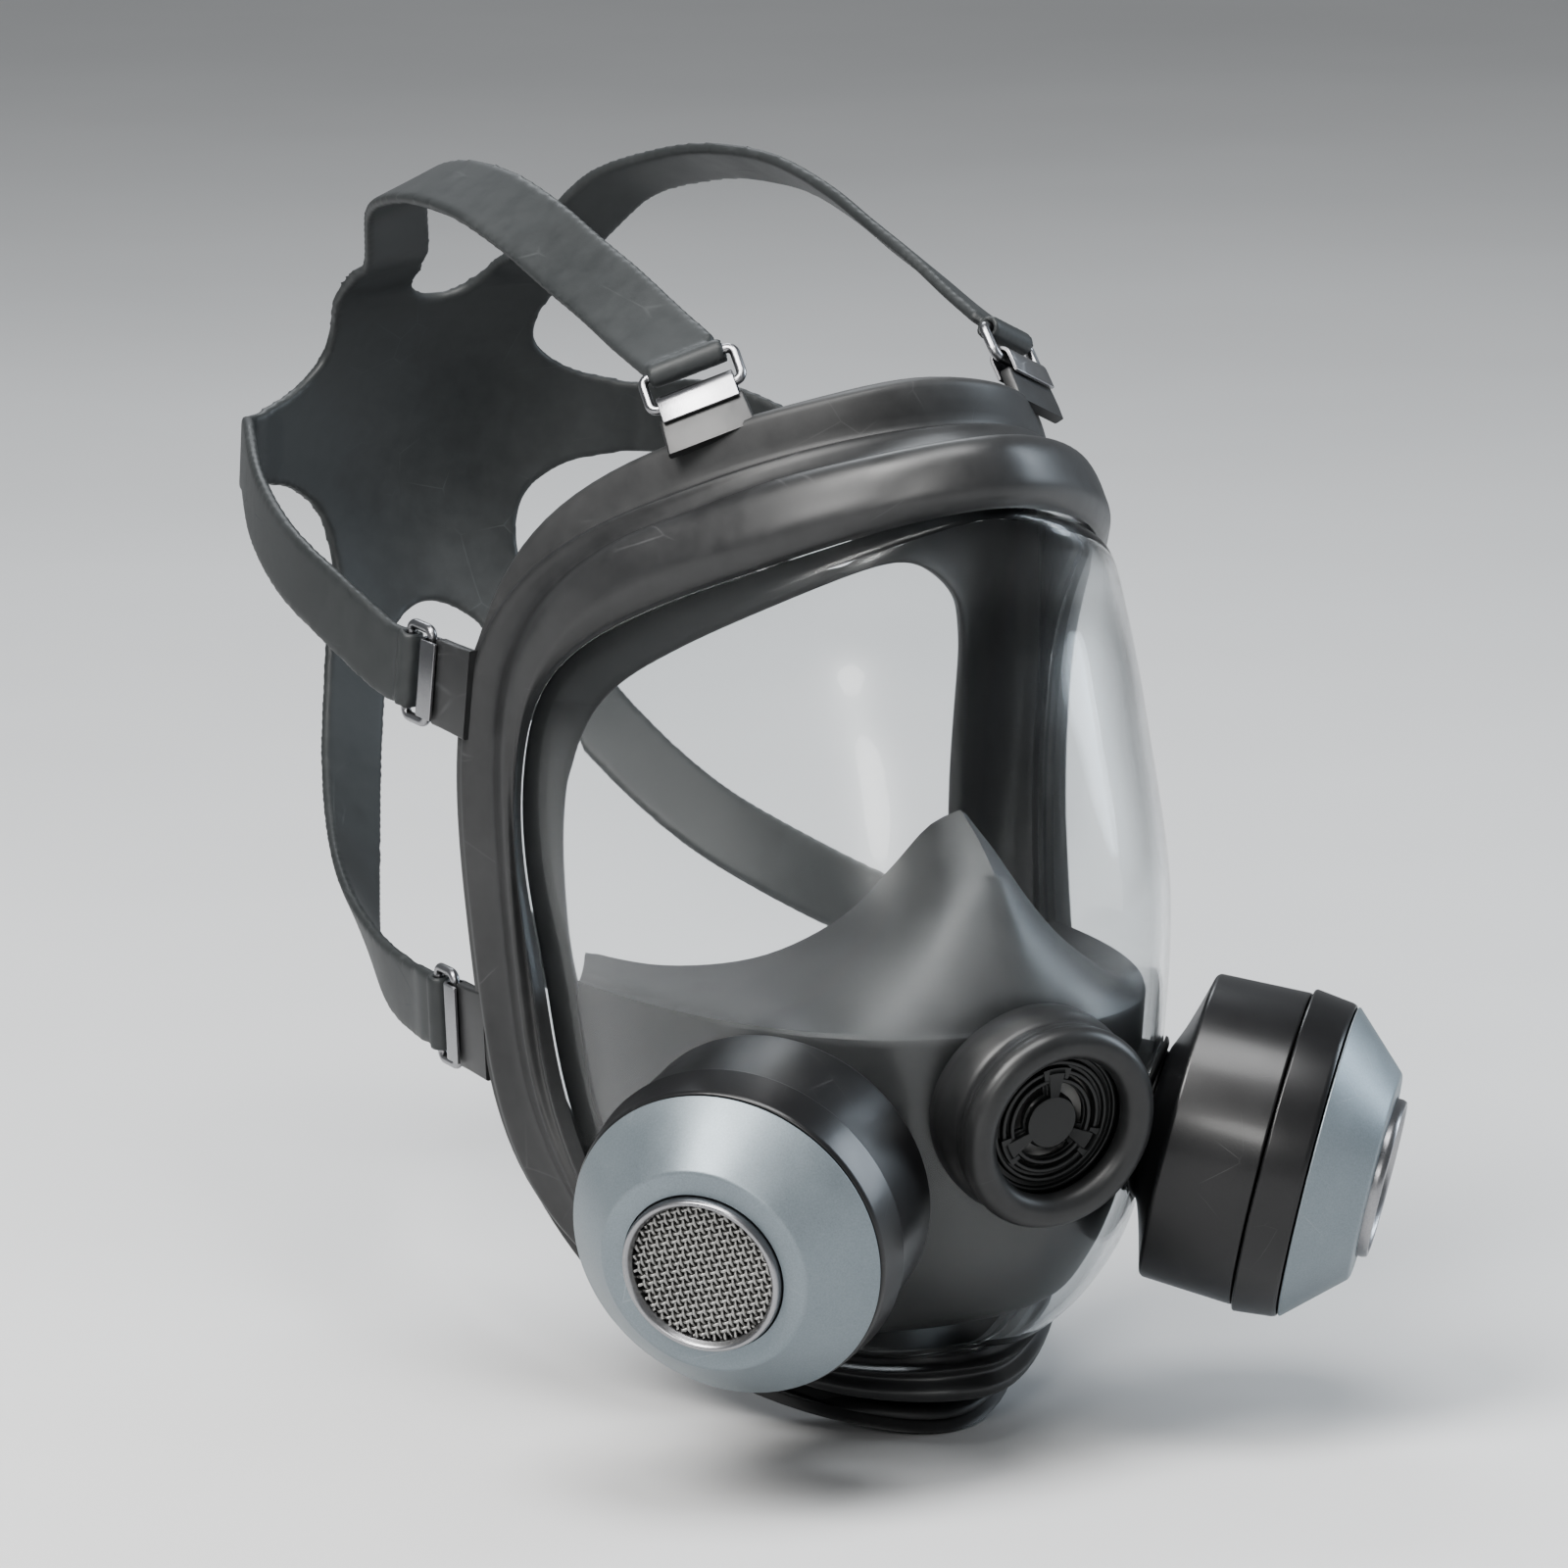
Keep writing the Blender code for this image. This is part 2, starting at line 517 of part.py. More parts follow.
SEG = 24
PIECES = [
    ("filter_can", [(NECK_R + 0.4, -34.6), (NECK_R + 0.4, -38.6),
                    (16.4, -38.6), (21.5, -36.4), (28.7, -34.2), (34.6, -32.6), (35.2, -31.9), (36.2, -11.2),
                    (36.2, -10.9), (34.8, -10.9), (33.6, -29.8), (31.4, -31.2), (17.6, -34.6)], GLOSS, SEG),
    ("filter_neck", [(NECK_R - 2.5, -33.0), (NECK_R - 2.5, -50.0), (NECK_R, -50.0), (NECK_R, -34.2),
                     (16.6, -34.2), (16.6, -33.0)], GLOSS, SEG),
    ("filter_band", [(34.8, -10.5), (CAN_R, -10.5), (CAN_R + 0.4, -10.1), (CAN_R - 0.8, -1.4), (35.6, -0.4),
                     (33.6, -0.4)], GLOSS, SEG),
    ("filter_cone", [(33.4, -0.1), (CONE_R, -0.1), (CONE_R, 0.3), (FACE_R + 0.4, 12.9), (FACE_R - 0.4, 13.4),
                     (18.6, 13.4), (18.6, 10.2), (22.4, 10.2), (31.4, 1.2)], ALU, SEG),
    ("filter_bezel", [(16.2, 9.8), (18.2, 9.8), (18.2, 15.3), (17.7, 15.9), (16.9, 15.9), (16.2, 15.0)],
     STEEL, SEG),
    ("filter_gauze", [(0, 12.9), (15.9, 12.9), (15.9, 14.1), (0, 14.1)], MESHM, SEG),
    ("filter_pleats", [(0, -10.0), (33.2, -10.0), (33.2, -1.2), (0, -1.2)], PAPER, SEG),
    ("filter_carbon", [(0, -30.6), (30.6, -30.6), (32.6, -28.8), (33.6, -11.2), (0, -11.2)], CARBON, SEG),
    ("filter_gasket", [(NECK_R + 0.3, -40.9), (15.4, -40.9), (15.4, -38.9), (NECK_R + 0.3, -38.9)],
     NYLON, SEG),
]
PORT = [
    ("port_ring", [(NECK_R + 0.35, -41.2), (PORT_R, -41.2), (PORT_R, -55.0), (NECK_R + 0.35, -55.0)],
     NYLON, SEG),
    ("inhalation_seat", [(4.5, -58.0), (15.6, -58.0), (15.6, -55.3), (4.5, -55.3)], NYLON, SEG),
    ("inhalation_flap", [(0, -59.1), (12.0, -59.1), (12.0, -58.4), (0, -58.4)], SILI, SEG),
]
made = {}
for side, tag in ((1, "left"), (-1, "right")):
    m = frame_from((side * FILTER_POS[0], FILTER_POS[1], FILTER_POS[2]), axis_of(side), (0, 0, 1))
    for nm, prof, mat, seg in PIECES + PORT:
        if nm in made:
            copy(made[nm], f"{nm}_{tag}", m)
        else:
            made[nm] = lathe(f"{nm}_{tag}", prof, mat, m, seg)

# holes through the visor and the inner mask for the valve and the two ports
holes = []
holes.append(lathe("hole_valve", [(0, -20), (15.2, -20), (15.2, 12), (0, 12)], LENS, VM, 40))
holes[-1].matrix_world = VM @ Matrix.Translation((0, 0, -0.012))
for side in (1, -1):
    m = frame_from((side * FILTER_POS[0], FILTER_POS[1], FILTER_POS[2]), axis_of(side), (0, 0, 1))
    holes.append(lathe("hole_port", [(0, -68), (PORT_R + 0.4, -68), (PORT_R + 0.4, -26), (0, -26)],
                       LENS, m, 32))
grown = polar_shell("visor_grown", grid + nrm * 0.35, nrm, 30.0, LENS)
tube = lathe("grown_hole", [(0, -60), (15.0, -60), (15.0, 12), (0, 12)], LENS, VM, 32)
boolean(grown, tube)
apply_all(grown, [tube])
boolean(valve_housing, grown)
apply_all(valve_housing, [grown])
for h in holes:
    boolean(visor, h)
    boolean(nose_cup, h)
apply_all(visor)
apply_all(nose_cup, holes)

# ---------------------------------------------------------------- harness: tabs, sleeves, rings
# attachment points on the seal (mm), wearer's +X side: foot of tab, strap direction, width direction
TABS = {
    "top": ((41.8, 9.3, 106.7), (-0.04, 0.66, 0.745), (0.80, 0.50, -0.30)),
    "temple": ((78.3, 63.5, 44.0), (0.12, 0.98, 0.10), (-0.04, -0.08, 1.0)),
    "lower": ((73.2, 64.3, -36.0), (-0.02, 0.99, 0.03), (0.06, 0.0, 1.0)),
}

def tab_frame(where, side):
    o, d, w = TABS[where]
    o = Vector((side * o[0], o[1], o[2]))
    d = Vector((side * d[0], d[1], d[2])).normalized()
    w = Vector((side * w[0], w[1], w[2]))
    w = (w - d * w.dot(d)).normalized()
    n = d.cross(w).normalized()
    out = Vector((o.x, 0.0, o.z)).normalized()
    if n.dot(out) < 0:
        w = -w
        n = -n
    return o, d, w, n

def plate(a, b, c):
    # box from -a/2..a/2 in X, b0..b1 in Y, c0..c1 in Z
    x, y0, y1, z0, z1 = a / 2, b[0], b[1], c[0], c[1]
    v = [(-x, y0, z0), (x, y0, z0), (x, y1, z0), (-x, y1, z0), (-x, y0, z1), (x, y0, z1), (x, y1, z1), (-x, y1, z1)]
    f = [(0, 1, 2, 3), (4, 5, 6, 7), (0, 1, 5, 4), (1, 2, 6, 5), (2, 3, 7, 6), (3, 0, 4, 7)]
    return v, f

TAB_L = 7.4
TAB_FOOT = {"top": 5.0, "temple": 0.0, "lower": 0.0}   # where each tab leaves the seal
EYE_AT = 10.6                # bar in the sleeve, measured along the tab
def local(o, d, w, n):
    m = Matrix((w, d, n)).transposed().to_4x4()
    m.translation = o * MM
    return m

def rod(name, x0, x1, y, z, r, mat, matrix, seg=12):
    sec = []
    for x in (x0, x1):
        sec.append([(x, y + r * math.cos(2 * math.pi * i / seg), z + r * math.sin(2 * math.pi * i / seg))
                    for i in range(seg)])
    return loft(name, sec, mat, matrix, closed=False)

first = {}
for side, tag in ((1, "left"), (-1, "right")):
    for where in TABS:
        o, d, w, n = tab_frame(where, side)
        m = local(o, d, w, n)
        hm = local(o + d * EYE_AT, d, w, n)
        if not first:
            v, f = plate(20.0, (TAB_FOOT[where], TAB_L), (-1.5, 1.5))
            tab = add(f"tab_{where}_{tag}", v, f, RUBBER, m)
            v, f = plate(18.0, (5.8 - EYE_AT, -1.2), (1.9, 2.7))
            sleeve = add(f"sleeve_{where}_{tag}", v, f, STEEL, m @ Matrix.Translation((0, EYE_AT * MM, 0)))
            v, f = plate(18.0, (5.8 - EYE_AT, -1.2), (-2.7, -1.9))
            under = add("sleeve_under", v, f, STEEL, sleeve.matrix_world)
            eye = rod("sleeve_eye", -9.0, 9.0, 0, 0, 2.7, STEEL, sleeve.matrix_world)
            bore = rod("sleeve_bore", -14, 14, 0, 0, EYE_BORE, STEEL, sleeve.matrix_world)
            boolean(sleeve, under, "UNION")
            boolean(sleeve, eye, "UNION")
            boolean(sleeve, bore)
            apply_all(sleeve, [under, eye, bore])
            path = []
            cr = 1.9
            hw = RING_W / 2
            for cx, cy, a0 in ((hw - cr, cr, -90), (hw - cr, RING_L - cr, 0), (-hw + cr, RING_L - cr, 90),
                               (-hw + cr, cr, 180)):
                for s in range(4):
                    a = math.radians(a0 + 90 * s / 3)
                    path.append((cx + cr * math.cos(a), cy + cr * math.sin(a), a))
            sec = []
            for x, y, a in path:
                sec.append([(x + WIRE_R * math.cos(b) * math.cos(a), y + WIRE_R * math.cos(b) * math.sin(a),
                             WIRE_R * math.sin(b)) for b in np.linspace(0, 2 * math.pi, 6, endpoint=False)])
            ring = loft(f"ring_{where}_{tag}", sec, STEEL, hm)
            first = {"tab": tab, "sleeve": sleeve, "ring": ring}
        else:
            if TAB_FOOT[where] == TAB_FOOT["top"]:
                copy(first["tab"], f"tab_{where}_{tag}", m)
            else:
                v, f = plate(20.0, (TAB_FOOT[where], TAB_L), (-1.5, 1.5))
                add(f"tab_{where}_{tag}", v, f, RUBBER, m)
            copy(first["sleeve"], f"sleeve_{where}_{tag}", hm)
            copy(first["ring"], f"ring_{where}_{tag}", hm)

# ---------------------------------------------------------------- back plate
PLATE_C = 72.0
PLATE_R = 82.0
PLATE_OUT = [(0, 112), (6, 114), (9.5, 119), (11, 127.5), (32, 126), (31, 113), (28.5, 104), (29.5, 96),
             (38, 89.5), (52, 86), (52, 68), (38, 65), (28.5, 58), (25.5, 48), (26.5, 37), (33.5, 25),
             (16.5, 19), (9, 29), (0, 33)]
RIDGE_V = [0, 20, 50, 80, 100, 118, 132]
RIDGE_Y = [213, 224.5, 237, 238, 232.5, 221, 206]
RIDGE_Z = [3, 20, 47, 77, 96.5, 111, 120]

def on_head(u, v):
    # point on the back of the head: u across, v up the nape
    y = float(np.interp(v, RIDGE_V, RIDGE_Y))
    z = float(np.interp(v, RIDGE_V, RIDGE_Z))
    return np.array([PLATE_R * math.sin(u / PLATE_R), y - PLATE_R * (1 - math.cos(u / PLATE_R)), z])

half = [(a, b) for a, b in PLATE_OUT]
loop = half + [(-a, b) for a, b in half[1:-1]][::-1]
fine = []
for i, p in enumerate(loop):
    q = loop[(i + 1) % len(loop)]
    long = math.dist(p, q) > 11.5
    fine += [p, ((p[0] + q[0]) / 2, (p[1] + q[1]) / 2)] if long else [p]
rings = []
for rho in (1.0, 0.78, 0.55, 0.3):
    rings.append([(rho * a, PLATE_C + rho * (b - PLATE_C)) for a, b in fine])
verts_o = [on_head(a, b) for rg in rings for a, b in rg] + [on_head(0, PLATE_C)]
def head_normal(a, b):
    p0 = on_head(a, b)
    pu = on_head(a + 1, b) - p0
    pv = on_head(a, b + 1) - on_head(a, b - 1)
    n = np.cross(pv, pu)
    return n / np.linalg.norm(n)
verts_n = [head_normal(a, b) for rg in rings for a, b in rg] + [head_normal(0, PLATE_C)]
verts_o = np.array(verts_o)
verts_n = np.array(verts_n)
verts_n *= np.sign(verts_n[:, 1:2])
verts = [*(verts_o + verts_n * STRAP_T), *verts_o]
L = len(fine)
T = len(verts_o)
faces = []
for i in range(len(rings) - 1):
    for j in range(L):
        k = (j + 1) % L
        faces.append((i * L + j, i * L + k, (i + 1) * L + k, (i + 1) * L + j))
        faces.append((T + i * L + j, T + (i + 1) * L + j, T + (i + 1) * L + k, T + i * L + k))
i = (len(rings) - 1) * L
for j in range(L):
    k = (j + 1) % L
    faces.append((i + j, i + k, T - 1))
    faces.append((T + i + j, 2 * T - 1, T + i + k))
    faces.append((j, T + j, T + k, k))
back_plate = add("back_plate", verts, faces, STRAPR)

# ---------------------------------------------------------------- straps
# centre line and width direction at each station, wearer's +X side (mm)
def arm_end(p, q):
    a = on_head(*p)
    b = on_head(*q)
    na = head_normal(*p)
    na = na * np.sign(na[1])
    mid = 0.5 * (np.array(p) + np.array(q))
    root = on_head(*(mid + (np.array(INNER[(p, q)]) - mid) * 0.5))
    run = 0.5 * (a + b) - root
    return 0.5 * (a + b) + na * STRAP_T / 2, (b - a) / np.linalg.norm(b - a), run / np.linalg.norm(run)

ENDS = {"top": ((12, 127.5), (31, 126)), "temple": ((52, 86), (52, 68)), "lower": ((33.5, 25), (16.5, 19))}
INNER = {ENDS["top"]: (18, 108), ENDS["temple"]: (34, 77), ENDS["lower"]: (17, 42)}
VIA = {
    "top": [(30, 187, 137), (36, 166, 144), (38.5, 146, 147), (40.5, 121, 147), (41, 96, 142.5), (41, 77, 137),
            (41, 58, 131.8), (41, 40.8, 126.3)],
    "temple": [(64, 200, 76), (75, 172, 69), (82, 142, 61.5), (84, 112, 54.5)],
    "lower": [(35.5, 204, -1), (47, 180, -18), (58.5, 152, -28.5), (67, 122, -34.5), (71, 98, -36)],
}
for side, tag in ((1, "left"), (-1, "right")):
    for where in TABS:
        o, d, w, n = tab_frame(where, side)
        end = o + d * (EYE_AT + RING_L)
        start, w0, run = arm_end(*ENDS[where])
        sgn = np.array([side, 1, 1])
        lead = 3.4 if where == "top" else 1.4
        pts = [start + run * lead, start + run * (lead + 5)] + [np.array(q) for q in VIA[where]]
        pts = [p * sgn for p in pts]
        e = np.array(end)
        last = (pts[-1] - e) / np.linalg.norm(pts[-1] - e) if where == "top" else np.array(d)
        pts += [e + last * 8.0, e + last * 2.2]
        line = spline(pts, 18)
        w0 = w0 * sgn
        w1 = np.array(w)
        if np.dot(w0, w1) < 0:
            w0 = -w0
        tang = np.gradient(line, axis=0)
        tang /= np.linalg.norm(tang, axis=1, keepdims=True)
        sec = []
        prev = w0
        for i, (p, t) in enumerate(zip(line, tang)):
            f = i / (len(line) - 1)
            k = f * f * (3 - 2 * f)
            ww = w0 * (1 - k) + w1 * k
            ww = ww - t * np.dot(ww, t)
            ww /= np.linalg.norm(ww)
            nn = np.cross(t, ww)
            if where == "top":
                # the arch leans outwards between its ends
                roll = math.radians(24.0) * math.sin(math.pi * f) * (1 - 0.35 * f)
                s = -math.copysign(1.0, nn[2]) * math.copysign(1.0, ww[0] * side)
                ww, nn = ww * math.cos(roll) + nn * s * math.sin(roll), nn * math.cos(roll) - ww * s * math.sin(roll)
            hw = STRAP_W / 2
            ht = STRAP_T / 2
            sec.append([p - ww * hw - nn * ht, p + ww * hw - nn * ht, p + ww * hw + nn * ht, p - ww * hw + nn * ht])
        strap = loft(f"strap_{where}_{tag}", sec, STRAPR, closed=False)
        em = local(o + d * (EYE_AT + RING_L), d, w, n)
        eye = rod("strap_eye", -9.0, 9.0, 0, 0, 3.0, STRAPR, em)
        bore = rod("strap_bore", -14, 14, 0, 0, EYE_BORE, STRAPR, em)
        boolean(strap, eye, "UNION")
        boolean(strap, bore)
        apply_all(strap, [eye, bore])

for ob in bpy.data.objects:
    ob.rotation_mode = "QUATERNION"
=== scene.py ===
# Looks of the full face respirator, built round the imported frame. Metres; geometry below is in mm.
import bpy
import bmesh
import math
import numpy as np
from mathutils import Matrix, Vector


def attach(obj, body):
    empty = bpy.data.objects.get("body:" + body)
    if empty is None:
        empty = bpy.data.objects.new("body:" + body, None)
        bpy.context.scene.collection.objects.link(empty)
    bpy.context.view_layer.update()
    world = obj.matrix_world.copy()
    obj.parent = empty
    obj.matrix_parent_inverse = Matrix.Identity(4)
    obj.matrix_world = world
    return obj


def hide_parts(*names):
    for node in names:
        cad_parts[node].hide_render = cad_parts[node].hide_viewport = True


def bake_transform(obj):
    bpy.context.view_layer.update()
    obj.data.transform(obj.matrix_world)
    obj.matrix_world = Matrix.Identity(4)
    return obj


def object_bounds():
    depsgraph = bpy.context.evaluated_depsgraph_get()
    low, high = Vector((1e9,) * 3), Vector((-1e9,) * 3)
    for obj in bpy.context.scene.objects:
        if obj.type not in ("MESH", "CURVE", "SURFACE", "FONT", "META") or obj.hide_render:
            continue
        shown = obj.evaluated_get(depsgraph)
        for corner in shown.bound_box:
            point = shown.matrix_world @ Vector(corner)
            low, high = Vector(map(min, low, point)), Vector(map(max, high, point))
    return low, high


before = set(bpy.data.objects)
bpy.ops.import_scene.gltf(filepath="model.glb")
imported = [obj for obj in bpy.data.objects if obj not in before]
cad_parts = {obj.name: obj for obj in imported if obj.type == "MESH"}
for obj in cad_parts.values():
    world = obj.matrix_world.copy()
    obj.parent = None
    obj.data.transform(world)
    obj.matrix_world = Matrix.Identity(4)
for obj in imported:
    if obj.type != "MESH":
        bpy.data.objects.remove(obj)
cad_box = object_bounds()
MM = 0.001
SIDES = ((1, "left"), (-1, "right"))

# ---- dimensions shared with the CAD (mm)
VISOR_T = 2.0
SEAL_T = 3.0
CUP_T = 2.0
EDGE = 4.0
GAP = 0.3
VALVE_POS = (0.0, -70.5, -38.5)
VALVE_TILT = 10.5
FILTER_POS = (76.0, -58.7, -58.5)
FILTER_YAW = 51.3
FILTER_DIP = 13.1
CAN_R = 37.0
CONE_R = 35.9
FACE_R = 23.9
NECK_R = 12.5
PORT_R = 16.8
STRAP_W = 18.0
STRAP_T = 2.8
WIRE_R = 1.15
RING_W = 21.8
RING_L = 8.5
EYE_AT = 10.6         # from a tab's root to the middle of its sleeve
TAB_FOOT = {"top": 4.6, "temple": 0.0, "lower": 0.0}   # how far past its root a tab starts
TURN_SEG = 120        # steps round the parts that are not plain turnings
HARNESS_VOXEL = 0.0009

# ---- materials
def nodes_of(name):
    m = bpy.data.materials.new(name)
    m.use_nodes = True
    nt = m.node_tree
    return m, nt, nt.nodes["Principled BSDF"]

def node(nt, kind, **values):
    n = nt.nodes.new(kind)
    for k, v in values.items():
        if k in n.inputs:
            n.inputs[k].default_value = v
        else:
            setattr(n, k, v)
    return n

def coords(nt, scale=(1, 1, 1)):
    tc = node(nt, "ShaderNodeTexCoord")
    mp = node(nt, "ShaderNodeMapping")
    mp.inputs["Scale"].default_value = scale
    nt.links.new(tc.outputs["Object"], mp.inputs["Vector"])
    return mp.outputs["Vector"]

def noise(nt, vec, scale, detail=4.0, rough=0.55):
    n = node(nt, "ShaderNodeTexNoise")
    n.inputs["Scale"].default_value = scale
    n.inputs["Detail"].default_value = detail
    n.inputs["Roughness"].default_value = rough
    nt.links.new(vec, n.inputs["Vector"])
    return n.outputs["Fac"]

def ramp(nt, fac, stops):
    r = node(nt, "ShaderNodeValToRGB")
    els = r.color_ramp.elements
    while len(els) < len(stops):
        els.new(0.5)
    for e, (p, c) in zip(els, stops):
        e.position = p
        e.color = (*c, 1.0) if len(c) == 3 else c
    nt.links.new(fac, r.inputs["Fac"])
    return r.outputs["Color"]

def span(nt, fac, a, b, lo=0.0, hi=1.0):
    r = node(nt, "ShaderNodeMapRange")
    r.inputs["From Min"].default_value = lo
    r.inputs["From Max"].default_value = hi
    r.inputs["To Min"].default_value = a
    r.inputs["To Max"].default_value = b
    nt.links.new(fac, r.inputs["Value"])
    return r.outputs["Result"]

def maths(nt, op, a, b):
    n = node(nt, "ShaderNodeMath", operation=op)
    for i, v in enumerate((a, b)):
        if isinstance(v, (int, float)):
            n.inputs[i].default_value = v
        else:
            nt.links.new(v, n.inputs[i])
    return n.outputs[0]

def scratches(nt, scale, stretch, width):
    # thin lines: cell borders of a stretched, turned Voronoi pattern
    tc = node(nt, "ShaderNodeTexCoord")
    mp = node(nt, "ShaderNodeMapping")
    mp.inputs["Rotation"].default_value = (0.5, 0.9, 0.3)
    mp.inputs["Scale"].default_value = (scale, scale * stretch, scale)
    nt.links.new(tc.outputs["Object"], mp.inputs["Vector"])
    v = node(nt, "ShaderNodeTexVoronoi", feature="DISTANCE_TO_EDGE")
    v.inputs["Scale"].default_value = 1.0
    nt.links.new(mp.outputs["Vector"], v.inputs["Vector"])
    return span(nt, v.outputs["Distance"], 1.0, 0.0, 0.0, width)

def rubber(name, dark, light, rough, spread, grain=0.12, scratch=0.0, dust=0.0, coat=0.0, shine=0.5):
    m, nt, b = nodes_of(name)
    vec = coords(nt)
    big = noise(nt, vec, 28.0, 5.0)
    mid = noise(nt, vec, 210.0, 6.0, 0.6)
    fine = noise(nt, vec, 3600.0, 3.0, 0.6)
    col = ramp(nt, maths(nt, "ADD", maths(nt, "MULTIPLY", big, 0.55), maths(nt, "MULTIPLY", mid, 0.45)),
               [(0.32, dark), (0.68, light)])
    r = maths(nt, "ADD", span(nt, big, rough - spread, rough + spread, 0.3, 0.7),
              span(nt, mid, -spread * 0.6, spread * 0.6, 0.3, 0.7))
    height = maths(nt, "ADD", maths(nt, "MULTIPLY", fine, 0.6), maths(nt, "MULTIPLY", mid, 0.4))
    if scratch:
        lines = scratches(nt, 60.0, 0.16, 0.012)
        gate = span(nt, noise(nt, vec, 55.0, 2.0), 0.0, 1.0, 0.52, 0.66)
        lines = maths(nt, "MULTIPLY", lines, gate)
        mix = node(nt, "ShaderNodeMix", data_type="RGBA")
        nt.links.new(maths(nt, "MULTIPLY", lines, scratch), mix.inputs[0])
        nt.links.new(col, mix.inputs[6])
        mix.inputs[7].default_value = (light[0] * 3.2, light[1] * 3.2, light[2] * 3.2, 1)
        col = mix.outputs[2]
        r = maths(nt, "ADD", r, maths(nt, "MULTIPLY", lines, 0.18))
        height = maths(nt, "SUBTRACT", height, maths(nt, "MULTIPLY", lines, 0.35))
    if dust:
        specks = span(nt, noise(nt, vec, 640.0, 5.0, 0.75), 0.0, 1.0, 0.6, 0.78)
        mix = node(nt, "ShaderNodeMix", data_type="RGBA")
        nt.links.new(maths(nt, "MULTIPLY", specks, dust), mix.inputs[0])
        nt.links.new(col, mix.inputs[6])
        mix.inputs[7].default_value = (0.10, 0.10, 0.095, 1)
        col = mix.outputs[2]
    nt.links.new(col, b.inputs["Base Color"])
    nt.links.new(r, b.inputs["Roughness"])
    bump = node(nt, "ShaderNodeBump")
    bump.inputs["Strength"].default_value = grain
    bump.inputs["Distance"].default_value = 0.0002
    nt.links.new(height, bump.inputs["Height"])
    nt.links.new(bump.outputs["Normal"], b.inputs["Normal"])
    b.inputs["Specular IOR Level"].default_value = shine
    b.inputs["Coat Weight"].default_value = coat
    b.inputs["Coat Roughness"].default_value = 0.25
    return m

def painted(name, dark, light, metal, rough, flake=0.0, bump_d=0.00015, wear=None, coat=0.0):
    m, nt, b = nodes_of(name)
    vec = coords(nt)
    big = noise(nt, vec, 35.0, 4.0)
    fine = noise(nt, vec, 2600.0, 2.0, 0.5)
    blend = maths(nt, "ADD", maths(nt, "MULTIPLY", big, 0.7), maths(nt, "MULTIPLY", fine, 0.3 + flake))
    col = ramp(nt, blend,
               [(0.3, dark), (0.75 + flake * 0.5, light)])
    lines = scratches(nt, 75.0, 0.2, 0.009)
    gate = span(nt, noise(nt, vec, 70.0, 2.0), 0.0, 1.0, 0.56, 0.7)
    lines = maths(nt, "MULTIPLY", lines, gate)
    if wear is not None:
        mix = node(nt, "ShaderNodeMix", data_type="RGBA")
        nt.links.new(maths(nt, "MULTIPLY", lines, 0.55), mix.inputs[0])
        nt.links.new(col, mix.inputs[6])
        mix.inputs[7].default_value = (*wear, 1)
        col = mix.outputs[2]
    r = maths(nt, "ADD", span(nt, big, rough * 0.85, rough * 1.2, 0.3, 0.7),
              maths(nt, "MULTIPLY", lines, 0.15))
    nt.links.new(col, b.inputs["Base Color"])
    nt.links.new(r, b.inputs["Roughness"])
    b.inputs["Metallic"].default_value = metal
    b.inputs["Coat Weight"].default_value = coat
    b.inputs["Coat Roughness"].default_value = 0.16
    bump = node(nt, "ShaderNodeBump")
    bump.inputs["Strength"].default_value = 0.12
    bump.inputs["Distance"].default_value = bump_d
    nt.links.new(maths(nt, "SUBTRACT", fine, lines), bump.inputs["Height"])
    nt.links.new(bump.outputs["Normal"], b.inputs["Normal"])
    return m

def clear(name, tint, rough, ior, shadow):
    m, nt, b = nodes_of(name)
    vec = coords(nt)
    b.inputs["Base Color"].default_value = (*tint, 1)
    b.inputs["Transmission Weight"].default_value = 1.0
    b.inputs["IOR"].default_value = ior
    b.inputs["Specular Tint"].default_value = (0.3, 0.3, 0.3, 1)
    b.inputs["Coat Weight"].default_value = 0.45
    b.inputs["Coat Roughness"].default_value = 0.27
    haze = noise(nt, vec, 14.0, 3.0)
    lines = maths(nt, "MULTIPLY", scratches(nt, 42.0, 0.14, 0.006),
                  span(nt, noise(nt, vec, 40.0, 2.0), 0.0, 1.0, 0.58, 0.72))
    nt.links.new(maths(nt, "ADD", span(nt, haze, rough * 0.6, rough * 1.5, 0.3, 0.7),
                       maths(nt, "MULTIPLY", lines, 0.12)), b.inputs["Roughness"])
    out = nt.nodes["Material Output"]
    lp = node(nt, "ShaderNodeLightPath")
    tr = node(nt, "ShaderNodeBsdfTransparent")
    tr.inputs["Color"].default_value = (*shadow, 1)
    mix = node(nt, "ShaderNodeMixShader")
    nt.links.new(lp.outputs["Is Shadow Ray"], mix.inputs["Fac"])
    nt.links.new(b.outputs["BSDF"], mix.inputs[1])
    nt.links.new(tr.outputs["BSDF"], mix.inputs[2])
    nt.links.new(mix.outputs["Shader"], out.inputs["Surface"])
    return m

